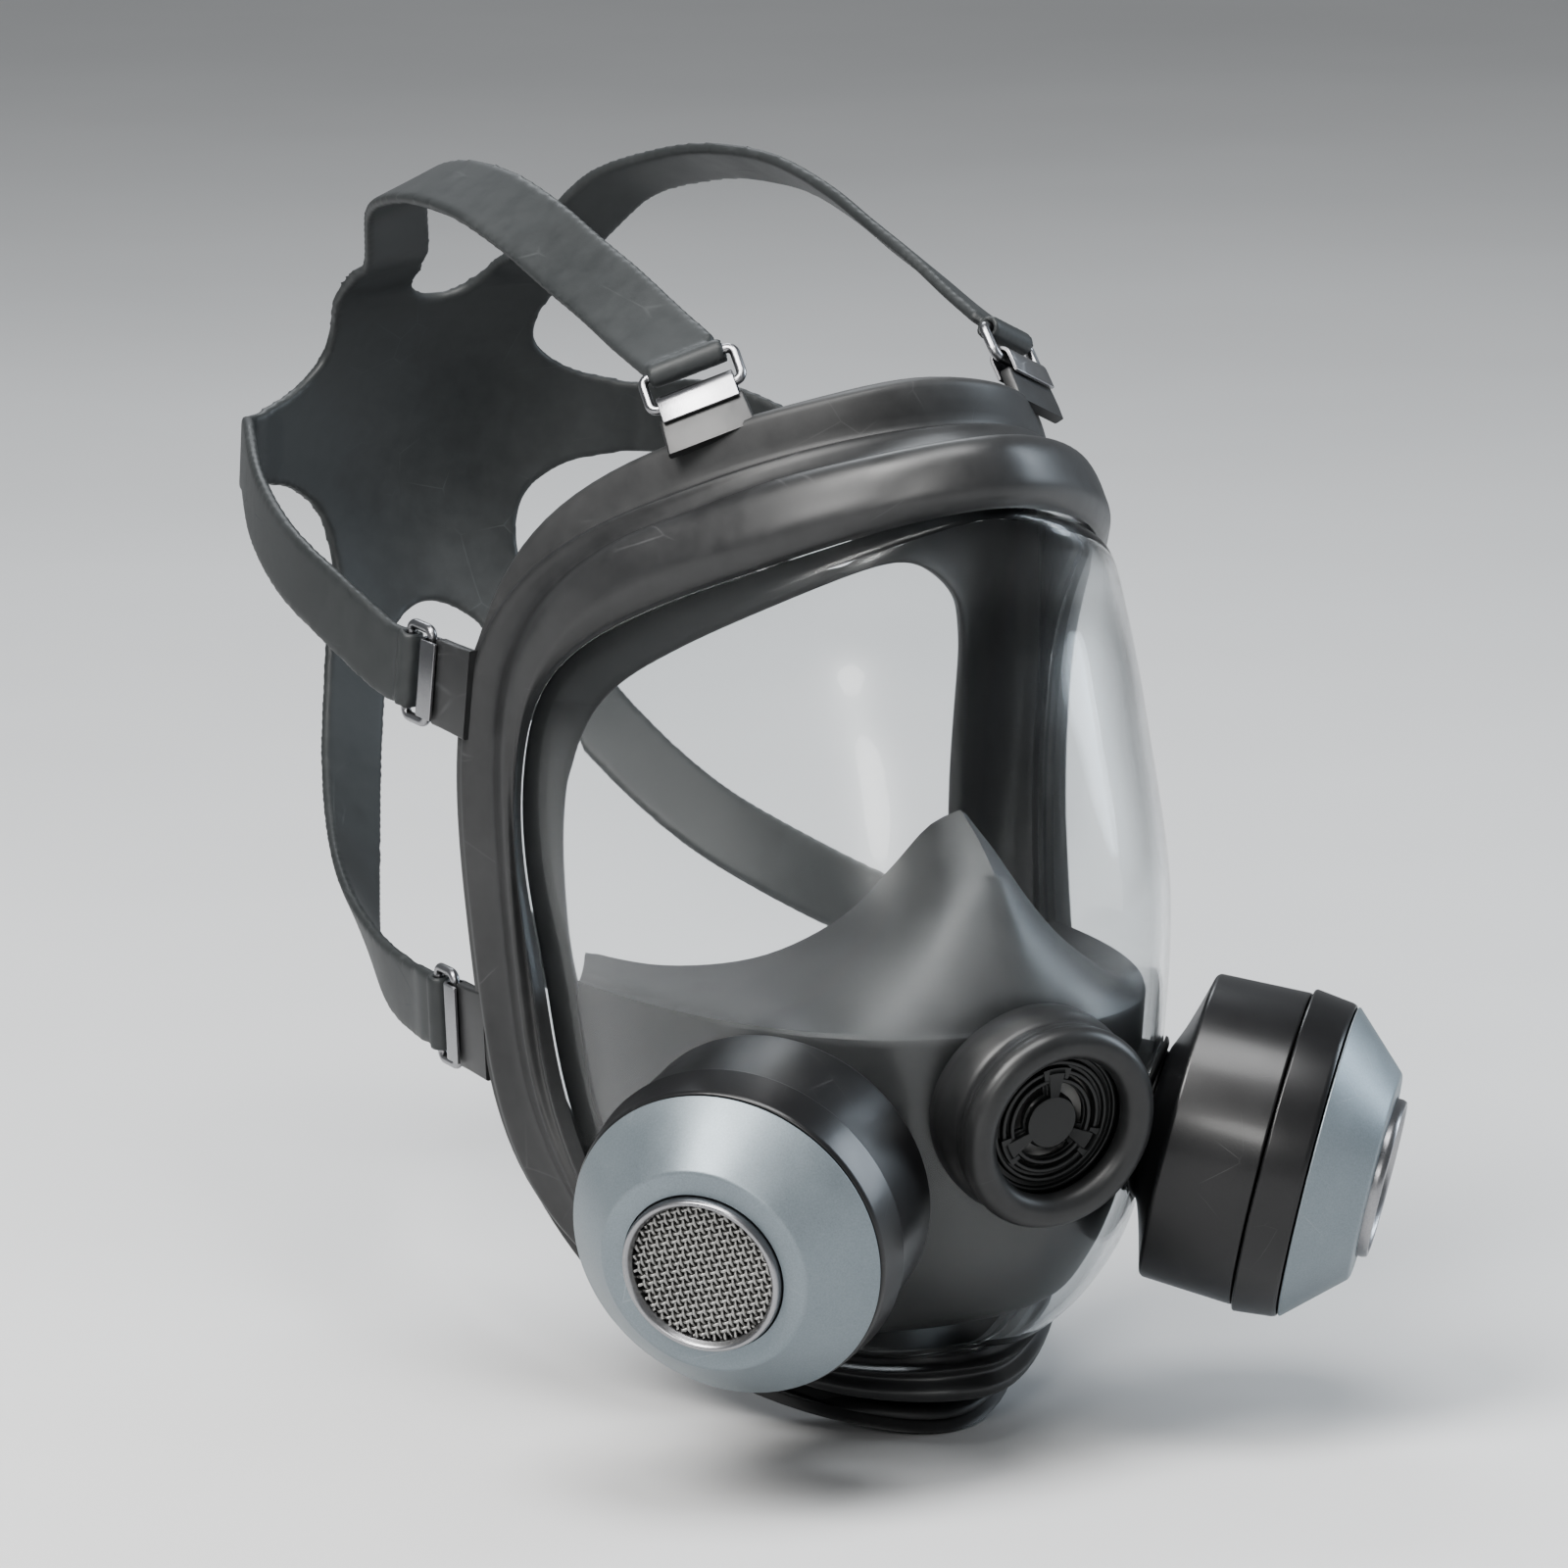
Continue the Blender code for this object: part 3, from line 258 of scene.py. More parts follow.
FRAME_R = rubber("rim_rubber", (0.017, 0.0175, 0.018), (0.031, 0.0315, 0.0325),
                 0.41, 0.05, 0.06, 0.4, 0.06, 0.0, 0.6)
SEAL_R = rubber("seal_rubber", (0.026, 0.0265, 0.027), (0.044, 0.0445, 0.045),
                0.50, 0.05, 0.08, 0.25, 0.05, 0.0, 0.45)
CUP_R = rubber("cup_rubber", (0.024, 0.024, 0.0242), (0.038, 0.038, 0.0382),
               0.50, 0.05, 0.006, 0.0, 0.02, 0.0, 0.4)
STRAP_R = rubber("strap_rubber", (0.023, 0.0255, 0.026), (0.040, 0.043, 0.044),
                 0.5, 0.05, 0.12, 0.2, 0.08, 0.0, 0.42)
VALVE_R_ = rubber("valve_rubber", (0.014, 0.0145, 0.015), (0.027, 0.0275, 0.028),
                  0.40, 0.04, 0.06, 0.3, 0.05, 0.0, 0.5)
ENAMEL = painted("black_enamel", (0.005, 0.005, 0.0055), (0.012, 0.012, 0.013), 0.0, 0.34, 0.0, 0.0001,
                 (0.06, 0.06, 0.06), 0.12)
GREY = painted("grey_enamel", (0.150, 0.178, 0.196), (0.235, 0.268, 0.288),
               0.6, 0.44, 0.3, 0.00012, (0.38, 0.41, 0.43))
STEEL = painted("bright_steel", (0.24, 0.24, 0.25), (0.38, 0.38, 0.39),
                1.0, 0.30, 0.0, 0.0001, (0.5, 0.5, 0.5))
WIRE = painted("gauze_wire", (0.24, 0.24, 0.235), (0.42, 0.415, 0.40), 0.85, 0.42, 0.1, 0.0001,
               (0.5, 0.5, 0.5))
NYLON = rubber("moulded_nylon", (0.007, 0.0075, 0.0075), (0.015, 0.0155, 0.0155),
               0.36, 0.05, 0.16, 0.0, 0.0, 0.0, 0.45)
SILICONE = rubber("silicone", (0.34, 0.34, 0.33), (0.46, 0.46, 0.45), 0.42, 0.05, 0.1)
PAPER = rubber("filter_paper", (0.60, 0.57, 0.48), (0.74, 0.71, 0.62), 0.85, 0.05, 0.4)
CARBON = rubber("carbon_bed", (0.004, 0.004, 0.004), (0.02, 0.02, 0.02), 0.8, 0.1, 0.9)
BACKING = rubber("gauze_backing", (0.045, 0.045, 0.044), (0.075, 0.075, 0.072), 0.7, 0.08, 0.5)
VISOR_M = clear("clear_visor", (0.93, 0.945, 0.95), 0.03, 1.22, (0.82, 0.84, 0.85))

# ---- mesh helpers
def finish_mesh(name, verts, faces, mat, matrix=None, angle=42.0):
    me = bpy.data.meshes.new(name)
    me.from_pydata((np.asarray(verts, float) * MM).tolist(), [], [tuple(int(i) for i in f) for f in faces])
    bm = bmesh.new()
    bm.from_mesh(me)
    bmesh.ops.recalc_face_normals(bm, faces=bm.faces)
    if bm.calc_volume(signed=True) < 0:
        bmesh.ops.reverse_faces(bm, faces=bm.faces)
    bm.to_mesh(me)
    bm.free()
    me.shade_smooth()
    me.set_sharp_from_angle(angle=math.radians(angle))
    me.materials.append(mat)
    ob = bpy.data.objects.new(name, me)
    if matrix is not None:
        ob.matrix_world = matrix
    bpy.context.scene.collection.objects.link(ob)
    return ob

def place(ob, body, slot, *nodes):
    ob.data.transform(ob.matrix_world)
    ob.matrix_world = Matrix.Identity(4)
    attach(ob, body)
    if nodes:
        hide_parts(*nodes)
    return ob

def apply_modifiers(ob):
    bpy.context.view_layer.update()
    dg = bpy.context.evaluated_depsgraph_get()
    me = bpy.data.meshes.new_from_object(ob.evaluated_get(dg))
    ob.modifiers.clear()
    ob.data = me
    return ob

def cut(ob, cutters, op="DIFFERENCE"):
    for c in cutters:
        md = ob.modifiers.new("cut", "BOOLEAN")
        md.operation = op
        md.solver = "EXACT"
        md.object = c
    apply_modifiers(ob)
    for c in cutters:
        bpy.data.objects.remove(c, do_unlink=True)
    return ob

def frame_from(origin, z, x=None):
    z = Vector(z).normalized()
    x = Vector(x) if x is not None else Vector((0, 0, 1)).cross(z)
    x = (x - z * x.dot(z)).normalized()
    m = Matrix((x, z.cross(x), z)).transposed().to_4x4()
    m.translation = Vector(origin) * MM
    return m

def fillet(profile, n=5):
    # corners given as (r, h, radius) become small arcs
    out = []
    k = len(profile)
    for i, p in enumerate(profile):
        q = np.array(p[:2], float)
        rad = p[2] if len(p) > 2 else 0.0
        if rad <= 0:
            out.append(tuple(q))
            continue
        a = np.array(profile[i - 1][:2], float) - q
        b = np.array(profile[(i + 1) % k][:2], float) - q
        la, lb = np.linalg.norm(a), np.linalg.norm(b)
        d = min(rad, la * 0.48, lb * 0.48)
        a, b = q + a / la * d, q + b / lb * d
        for t in np.linspace(0, 1, n):
            out.append(tuple((1 - t) ** 2 * a + 2 * t * (1 - t) * q + t * t * b))
    return out

def lathe(name, profile, mat, matrix, seg=96, angle=42.0):
    prof = fillet(profile)
    verts = []
    rings = []
    for r, h in prof:
        if r < 1e-6:
            rings.append([len(verts)])
            verts.append((0, 0, h))
        else:
            s = len(verts)
            for i in range(seg):
                a = 2 * math.pi * i / seg
                verts.append((r * math.cos(a), r * math.sin(a), h))
            rings.append(list(range(s, s + seg)))
    faces = []
    for k in range(len(prof)):
        a, b = rings[k], rings[(k + 1) % len(prof)]
        if len(a) == 1 and len(b) == 1:
            continue
        for i in range(seg):
            j = (i + 1) % seg
            if len(a) == 1:
                faces.append((a[0], b[i], b[j]))
            elif len(b) == 1:
                faces.append((a[i], b[0], a[j]))
            else:
                faces.append((a[i], b[i], b[j], a[j]))
    return finish_mesh(name, verts, faces, mat, matrix, angle)

def grid_faces(rows, cols, wrap_rows=False, wrap_cols=False, start=0):
    faces = []
    for i in range(rows if wrap_rows else rows - 1):
        k = (i + 1) % rows
        for j in range(cols if wrap_cols else cols - 1):
            l = (j + 1) % cols
            a, b = start + i * cols, start + k * cols
            faces.append((a + j, a + l, b + l, b + j))
    return faces

def curve_through(ctrl, per, closed=False, sharp=()):
    # smooth curve through control points along axis 1 of (..., m, 3); per samples a span
    c = np.asarray(ctrl, float)
    m = c.shape[-2]
    spans = m if closed else m - 1
    out = []
    for i in range(spans):
        if closed:
            p0, p1, p2, p3 = (c[..., (i + q) % m, :] for q in (-1, 0, 1, 2))
        else:
            p1, p2 = c[..., i, :], c[..., i + 1, :]
            p0 = c[..., i - 1, :] if i > 0 else 2 * p1 - p2
            p3 = c[..., i + 2, :] if i + 2 < m else 2 * p2 - p1
        t1 = np.maximum(np.linalg.norm(p1 - p0, axis=-1, keepdims=True), 1e-6) ** 0.5
        t2 = np.maximum(np.linalg.norm(p2 - p1, axis=-1, keepdims=True), 1e-6) ** 0.5
        t3 = np.maximum(np.linalg.norm(p3 - p2, axis=-1, keepdims=True), 1e-6) ** 0.5
        m1 = ((p2 - p1) / t2 - (p2 - p0) / (t1 + t2) + (p1 - p0) / t1) * t2
        m2 = ((p3 - p2) / t3 - (p3 - p1) / (t2 + t3) + (p2 - p1) / t2) * t2
        if i in sharp:
            m1 = p2 - p1
        if (i + 1) % m in sharp:
            m2 = p2 - p1
        for s in range(per):
            t = s / per
            out.append((2 * t**3 - 3 * t**2 + 1) * p1 + (t**3 - 2 * t**2 + t) * m1
                       + (-2 * t**3 + 3 * t**2) * p2 + (t**3 - t**2) * m2)
    if not closed:
        out.append(c[..., -1, :])
    return np.stack(out, axis=-2)

def even(points, count, closed=False):
    p = np.asarray(points, float)
    if closed:
        p = np.vstack([p, p[:1]])
    d = np.r_[0, np.cumsum(np.linalg.norm(np.diff(p, axis=0), axis=1))]
    t = np.linspace(0, d[-1], count + 1)[:-1] if closed else np.linspace(0, d[-1], count)
    return np.stack([np.interp(t, d, p[:, k]) for k in range(3)], 1)

def soften(loop, sigma):
    # round-the-loop Gaussian smoothing
    n = len(loop)
    k = np.minimum(np.arange(n), n - np.arange(n))
    w = np.exp(-0.5 * (k / sigma) ** 2)
    w /= w.sum()
    f = np.fft.rfft(w)
    return np.stack([np.fft.irfft(np.fft.rfft(loop[:, i]) * f, n) for i in range(3)], 1)

def outline(half, angles, sigma=6.0):
    h = np.array(half, float)
    full = np.vstack([h, (h[1:-1] * (-1, 1, 1))[::-1]])
    dense = soften(even(curve_through(full, 24, True), 720, True), sigma)
    ang = np.unwrap(np.arctan2(dense[:, 0], dense[:, 2]))
    order = np.argsort(ang)
    a, d = ang[order], dense[order]
    a = np.r_[a - 2 * math.pi, a, a + 2 * math.pi]
    d = np.vstack([d, d, d])
    return np.stack([np.interp(angles, a, d[:, k]) for k in range(3)], 1)

def smooth1d(x, xs, ys):
    # smooth cubic through the points (xs, ys)
    xs, ys = np.array(xs, float), np.array(ys, float)
    g = np.gradient(ys, xs)
    x = np.clip(x, xs[0], xs[-1])
    i = np.clip(np.searchsorted(xs, x) - 1, 0, len(xs) - 2)
    h = xs[i + 1] - xs[i]
    t = (x - xs[i]) / h
    return ((2 * t**3 - 3 * t**2 + 1) * ys[i] + (t**3 - 2 * t**2 + t) * h * g[i]
            + (-2 * t**3 + 3 * t**2) * ys[i + 1] + (t**3 - t**2) * h * g[i + 1])

def unit(v):
    return v / np.maximum(np.linalg.norm(v, axis=-1, keepdims=True), 1e-9)

# ---- outlines
N = 192
ANG = np.linspace(0, 2 * math.pi, N, endpoint=False)
VIEW_EDGE = [(0, -42.5, 94), (17.5, -36.5, 91), (33, -26.5, 85.5), (45.5, -11, 78), (55.5, 8, 69.5),
             (64.5, 28, 58), (69, 40, 45.5), (70.3, 46, 24), (69.5, 46, 4), (67.3, 42, -18),
             (66, 36, -42), (63, 28, -62), (57, 20, -79), (49, 12, -89.5), (38.5, -1, -95.5),
             (28, -11, -99), (15.5, -22, -100.5), (0, -31.5, -99)]
CREASE = [(0, -41.5, 110.5), (14, -36, 108.5), (24.5, -28.5, 105.5), (37.5, -14, 100), (50, 2, 91.5),
          (61.5, 19, 83), (70, 34, 69.5), (74.3, 44, 52), (75, 47.5, 31), (74.2, 48, 7),
          (72.8, 46, -21), (71, 42, -45), (68, 36, -60), (61.5, 28, -78), (53.5, 17.5, -91),
          (43, 2, -101.5), (30.3, -12.5, -107.5), (16, -26, -109.8), (0, -36.5, -109)]
BACK = [(0, -19, 110), (19.5, -15, 108), (35, -3, 102.5), (50, 13, 94), (62.5, 31, 84), (71.5, 48, 70),
        (77, 58, 52), (79, 61, 31), (78.7, 61, 10), (77, 60.5, -10), (75.5, 58.5, -30),
        (74, 54, -50), (69.5, 47.5, -69), (61, 38, -84), (50, 24, -96), (38, 8, -104),
        (20, -9, -110), (0, -19, -112)]
CREST = [(0, -14, 119.5), (19, -11.5, 116.5), (33, 0, 112), (45.5, 15, 105), (57, 31, 96),
         (67, 46, 82.5), (73.5, 57, 62), (76, 63.5, 35), (75.5, 65, 10), (74, 64, -12), (72, 61, -32),
         (70.5, 56, -52), (66.5, 49, -71), (59, 40, -88), (49, 25, -102), (37, 6, -112),
         (20, -15, -117.5), (0, -27, -120)]
REAR = [(0, 6, 114), (20, 9, 110.5), (37, 20, 103), (50, 35, 93), (60, 50, 79.5), (66.5, 61.5, 62),
        (69.5, 68, 40), (69, 70.5, 15), (67, 71, -10), (62.5, 68, -32), (59, 62, -56), (52, 52, -76),
        (43, 39, -92), (30, 22, -105), (16, 8, -112), (0, 0, -115)]
OPENING = [(0, 0, 77), (14, 9, 71.5), (28, 23, 62.5), (38, 38, 53), (46, 51, 43), (50, 59.5, 30),
           (51, 63.5, 13), (50.5, 63.5, -6), (49.5, 61.5, -22), (45, 55, -45), (36, 44, -64),
           (22, 30, -80), (0, 20, -88)]
rim_view = outline(VIEW_EDGE, ANG)
rim_crease = outline(CREASE, ANG)
rim_back = outline(BACK, ANG)
seal_crest = outline(CREST, ANG)
seal_rear = outline(REAR, ANG)
seal_open = outline(OPENING, ANG)
half_ang = np.linspace(0, math.pi, 600)
edge_dense = outline(VIEW_EDGE, half_ang)

# ---- visor
PROFILE_Z = [-120, -99, -91, -80, -60, -38, -12, 6, 20, 43, 62, 94, 120]
PROFILE_Y = [-25, -31.5, -37, -44, -52, -57, -61.5, -61, -58.5, -52, -44.5, -42.5, -40]
FULL_Z = [-120, -60, 0, 40, 94, 120]
FULL_N = [2.3, 2.4, 2.35, 2.05, 2.0, 2.0]
edge_order = np.argsort(edge_dense[:, 2])
edge_z = edge_dense[edge_order, 2]
edge_x = edge_dense[edge_order, 0]
edge_y = edge_dense[edge_order, 1]

def visor_y(x, z, inset=0.0):
    xb = np.interp(z, edge_z, edge_x) - inset
    yb = np.interp(z, edge_z, edge_y)
    yc = smooth1d(z, PROFILE_Z, PROFILE_Y) + inset
    n = smooth1d(z, FULL_Z, FULL_N)
    q = np.clip(np.abs(x) / np.maximum(xb, 1e-6), 0, 1)
    return yb + (yc - yb) * (1 - q ** n) ** (1 / n)

CENTRE_Z = -10.0
S = np.linspace(0, 1, 41)[1:]
RHO = 1 - (1 - S) ** 1.9
rows = []
for rho in RHO[:-1]:
    x = rho * rim_view[:, 0]
    z = CENTRE_Z + rho * (rim_view[:, 2] - CENTRE_Z)
    rows.append(np.stack([x, visor_y(x, z), z], 1))
rows = np.array(rows)
edge = rim_view.copy()
tau = unit(edge - rows[-4])
tau = unit(soften(tau, 3.0))
grid = np.concatenate([rows[:-3], (0.5 * rows[-4] + 0.5 * edge)[None], edge[None],
                       (edge + tau * 1.2)[None], (edge + tau * (EDGE - 1.5))[None]])

def normals(g, wrap):
    du = np.gradient(g, axis=0)
    dv = (np.roll(g, -1, 1) - np.roll(g, 1, 1)) * 0.5 if wrap else np.gradient(g, axis=1)
    return unit(np.cross(du, dv))

nrm = normals(grid, True)
centre = np.array([0.0, -20.0, -10.0])
nrm *= np.sign(((grid - centre) * nrm).sum(-1, keepdims=True))
edge_n = unit(soften(nrm[-3], 3.0))
nrm[-1] = nrm[-2] = nrm[-3] = edge_n

def shell(g, nr, t, lift=0.0):
    rows, cols = g.shape[:2]
    o = g + nr * lift
    inner = o - nr * t
    c0 = np.array([0.0, float(visor_y(0.0, CENTRE_Z)) - lift, CENTRE_Z])
    verts = [*o.reshape(-1, 3), c0, *inner.reshape(-1, 3), c0 + (0, t, 0)]
    off = rows * cols + 1
    faces = grid_faces(rows, cols, False, True) + grid_faces(rows, cols, False, True, off)
    last = (rows - 1) * cols
    for j in range(cols):
        k = (j + 1) % cols
        faces.append((rows * cols, k, j))
        faces.append((off + rows * cols, off + j, off + k))
        faces.append((last + j, last + k, off + last + k, off + last + j))
    return verts, faces

tilt = math.radians(VALVE_TILT)
V_AXIS = Vector((0, -math.cos(tilt), -math.sin(tilt)))
VM = frame_from(VALVE_POS, V_AXIS, (1, 0, 0))

def axis_of(side):
    yaw, dip = math.radians(FILTER_YAW), math.radians(FILTER_DIP)
    return Vector((side * math.sin(yaw) * math.cos(dip), -math.cos(yaw) * math.cos(dip), -math.sin(dip)))

def filter_frame(side):
    return frame_from((side * FILTER_POS[0], FILTER_POS[1], FILTER_POS[2]), axis_of(side), (0, 0, 1))

def holes():
    out = [lathe("hole_valve", [(0, -32), (15.2, -32), (15.2, 0), (0, 0)], NYLON, VM, 96)]
    for side, _ in SIDES:
        out.append(lathe("hole_port", [(0, -68), (PORT_R + 0.4, -68), (PORT_R + 0.4, -26), (0, -26)],
                         NYLON, filter_frame(side), 96))
    return out

v, f = shell(grid, nrm, VISOR_T)
visor = finish_mesh("visor_lens", v, f, VISOR_M)
cut(visor, holes())
place(visor, "mask", "clear_visor", "visor")

# ---- frame round the visor
inward_c = unit(rim_crease * (-1, 0, -1))
lift = np.linalg.norm(rim_crease - edge, axis=1, keepdims=True)
start = edge + edge_n * GAP
fwd = unit(np.cross(rim_crease - start, np.stack([rim_crease[:, 2], 0 * ANG, -rim_crease[:, 0]], 1)))
fwd *= np.where(fwd[:, 1:2] > 0, -1.0, 1.0)
fwd = unit(soften(fwd, 3.0))
bulge = fwd * np.minimum(4.8, 0.3 * lift)
mid = 0.5 * (start + rim_crease)
lip = 0.4
from_top = np.minimum(ANG, 2 * math.pi - ANG)
low = np.clip((from_top - 1.0) / 0.7, 0, 1)[:, None]
low = low * low * (3 - 2 * low)
sections = np.stack([
    start + edge_n * lip,
    start + edge_n * (lip + 1.3) + bulge * 0.15,
    start * 0.8 + rim_crease * 0.2 + bulge * (0.85 + 0.25 * low) + edge_n * (1.2 + 0.5 * low),
    mid + bulge * (1.05 - 0.75 * low),
    start * 0.17 + rim_crease * 0.83 + bulge * (0.72 + 0.18 * low),
    rim_crease + bulge * 0.05,
    rim_crease * 0.8 + rim_back * 0.2 + inward_c * 1.2,
    rim_crease * 0.52 + rim_back * 0.48 + inward_c * 2.6,
    rim_crease * 0.26 + rim_back * 0.74 + inward_c * 1.4,
    rim_crease * 0.1 + rim_back * 0.9 + inward_c * 0.1,
    rim_back + inward_c * 0.4,
    rim_back + inward_c * 5.0,
    edge + tau * (EDGE + 3.0) - edge_n * (VISOR_T + GAP),
    edge + tau * EDGE - edge_n * (VISOR_T + GAP),
    edge + tau * EDGE + edge_n * (GAP + lip)], 1)
dense = curve_through(sections, 5, True, sharp=(0, 10, 11, 12, 13, 14))
faces = grid_faces(N, dense.shape[1], True, True)
rim = finish_mesh("rim", dense.reshape(-1, 3), faces, FRAME_R, angle=60)
place(rim, "mask", "frame_rubber", "visor_frame")

# ---- face seal
inward = unit(rim_back * (-1, 0, -1))
back = np.array([0.0, 1.0, 0.0])
s0 = rim_back + inward * 0.9 + back * 0.6
p_out = np.stack([s0, s0 + back * 2.2, 0.35 * s0 + 0.65 * seal_crest - inward * 0.4 + back * 0.9,
                  seal_crest + back * 0.8,
                  0.5 * (seal_crest + seal_rear) - inward * 1.2 + back * 1.0, seal_rear,
                  0.62 * seal_rear + 0.38 * seal_open + back * 1.5,
                  0.3 * seal_rear + 0.7 * seal_open + back * 0.8, seal_open], 1)
d = np.gradient(p_out, axis=1)
side_n = unit(np.cross(d, np.cross(inward, back)[:, None]))
ref = (0.5 * (rim_back + seal_open) - back * 6)[:, None]
side_n *= np.where(((ref - p_out) * side_n).sum(-1, keepdims=True) < 0, -1.0, 1.0)
p_in = p_out + side_n * SEAL_T
near = seal_crest[:, 1] > rim_back[:, 1] - 1.0
floor_in = rim_back[:, 1:2] + 0.6
p_in[near, :5, 1] = np.maximum(p_in[near, :5, 1], floor_in[near])
p_out[near, 1:4, 1] = np.maximum(p_out[near, 1:4, 1], floor_in[near] + 1.4)
tip = 0.5 * (p_out[:, -1] + p_in[:, -1]) + 0.6 * unit(seal_open - p_out[:, -2])
sections = np.concatenate([p_out, tip[:, None], p_in[:, ::-1]], 1)
for k in range(sections.shape[1]):
    sections[:, k] = soften(sections[:, k], 1.6)
dense = curve_through(sections, 4, True, sharp=(0, 18))
faces = grid_faces(N, dense.shape[1], True, True)
seal = finish_mesh("seal", dense.reshape(-1, 3), faces, SEAL_R, angle=60)
place(seal, "mask", "seal_rubber", "face_seal")

# ---- nose cup
CUP_EDGE = [(0, -28.5, 24.5), (4.5, -24.5, 21.5), (8.5, -12, 9), (12.5, 4, -5), (23, 22, -16),
            (37, 42, -20.3), (48.5, 56.5, -18.8)]
CUP_WALL = ((-32, 1, 0), (-50, 1, 0), (-68, 0.98, 0.5), (-82, 0.97, 0.8), (-90, 0.95, 1.6), (-94.5, 0.93, 7))
SHELF_Z = -19.5
INSET = 4.6
COLS = 61
s_mid = np.linspace(-1, 1, COLS)
half_edge = even(curve_through(np.array(CUP_EDGE), 12), COLS // 2 + 1)
top_row = np.vstack([(half_edge * (-1, 1, 1))[::-1], half_edge[1:]])

def wall_row(z, width, deep, inset=INSET):
    xb = float(np.interp(z, edge_z, edge_x)) - inset
    x = xb * width * np.sin(s_mid * math.pi / 2 * 0.97)
    return np.stack([x, visor_y(x, z, inset) + deep, 0 * x + z], 1)

bump = np.exp(-(top_row[:, 0] / 15.0) ** 2)[:, None]

def shelf_rows(shelf, drop):
    out = []
    for q in (0.0, 0.2, 0.45, 0.72, 0.9):
        mix = top_row * (1 - q) + shelf * q
        dome = math.sin(math.pi * q)
        mix = mix + bump * dome * np.array([0, -4.5, 5.5]) - (1 - bump) * dome * np.array([0, 0, 1.5])
        mix[:, 0] *= 1 + 0.35 * dome * bump[:, 0]
        out.append(mix - np.array([0, -0.6 * drop, drop]) * (0.55 + 0.45 * q))
    return out

def cup_rows(t):
    inset = INSET + t
    shelf = wall_row(SHELF_Z, 1.0, 0.0, inset) - (0, 0, t)
    out = shelf_rows(shelf + (0, 0, t), t)
    out.append(shelf + (0, 0.9, 0.15))
    out.append(wall_row(SHELF_Z - 0.9 - t, 1.0, 0.0, inset))
    for z, width, deep in CUP_WALL:
        out.append(wall_row(z, width, deep, inset))
    rows = curve_through(np.array(out).transpose(1, 0, 2), 6, False, sharp=(5, 6)).transpose(1, 0, 2)
    # side wings run back from the wall towards the seal
    z = rows[:, 0, 2]
    fall = np.clip((-20.5 - z) / 4.0, 0, 1) * (1 - 0.6 * np.clip((-82 - z) / 11.0, 0, 1))
    wings = []
    for k in (0, -1):
        e = rows[:, k]
        for f in (0.35, 0.7, 1.0):
            wings.append(e + np.stack([-np.sign(e[:, 0]) * 7.5 * f * f * fall, 12.0 * f * fall, 0 * fall], 1)
                         + np.array([np.sign(e[0, 0]) * 0.05 * f, 0.05 * f, 0]))
    left = np.stack(wings[:3][::-1], 1)
    right = np.stack(wings[3:], 1)
    return np.concatenate([left, rows, right], 1)

g = cup_rows(0.0)
inner = cup_rows(CUP_T)
R_, K_ = g.shape[:2]
verts = [*g.reshape(-1, 3), *inner.reshape(-1, 3)]
off = R_ * K_
faces = grid_faces(R_, K_) + [q[::-1] for q in grid_faces(R_, K_, start=off)]
for j in range(K_ - 1):
    faces.append((j, off + j, off + j + 1, j + 1))
    a = (R_ - 1) * K_ + j
    faces.append((a, a + 1, off + a + 1, off + a))
for i in range(R_ - 1):
    a, b = i * K_, (i + 1) * K_
    faces.append((a, b, off + b, off + a))
    a, b = i * K_ + K_ - 1, (i + 1) * K_ + K_ - 1
    faces.append((a, off + a, off + b, b))
cup = finish_mesh("inner_mask", verts, faces, CUP_R, angle=50)
cut(cup, holes())
place(cup, "mask", "cup_rubber", "nose_cup")

# ---- exhalation valve
# the housing's outer wall runs from the thick rim back to the visor, flaring as it lands
def land(m, a, r, hair=0.35):
    # height along the frame's axis where radius r at angle a meets the visor, plus a hair
    turn = np.array(m)[:3, :3]
    at = np.array(m.translation) / MM
    lo, hi = -60.0, 0.0
    for _ in range(40):
        h = 0.5 * (lo + hi)
        p = at + turn @ np.array([r * math.cos(a), r * math.sin(a), h])
        if p[1] > float(visor_y(p[0], p[2])) - hair:
            lo = h
        else:
            hi = h
    return 0.5 * (lo + hi)

def landing(a, r):
    return land(VM, a, r)

sections = []
for i in range(TURN_SEG):
    a = 2 * math.pi * i / TURN_SEG
    rb = 24.6 - 0.24 * max(0.0, -landing(a, 24.0) - 9.0)
    hb = landing(a, rb)
    hn = landing(a, 15.0)
    prof = [(19.6, -2.9), (19.6, -11.6), (11.8, -11.6), (11.8, -28.0), (14.8, -28.0), (14.8, hn + 0.1),
            (rb, hb), (0.4 * rb + 14.5, 0.75 * hb - 0.9), (24.0, 0.4 * hb - 2.2), (23.4, -5.0), (22.9, -3.7),
            (23.15, -2.0)]
    for k in range(13):
        t = math.radians(-30 + 23.5 * k)
        prof.append((20.0 + 3.75 * math.cos(t), 0.9 + 3.75 * math.sin(t)))
    sections.append([(r * math.cos(a), r * math.sin(a), h) for r, h in prof])
dense = curve_through(np.array(sections), 4, True, sharp=(0, 1, 2, 3, 4, 5, 6, 7))
housing = finish_mesh("valve_housing", dense.reshape(-1, 3), grid_faces(TURN_SEG, dense.shape[1], True, True),
                      VALVE_R_, VM, 50)
place(housing, "mask", "frame_rubber", "exhalation_housing")

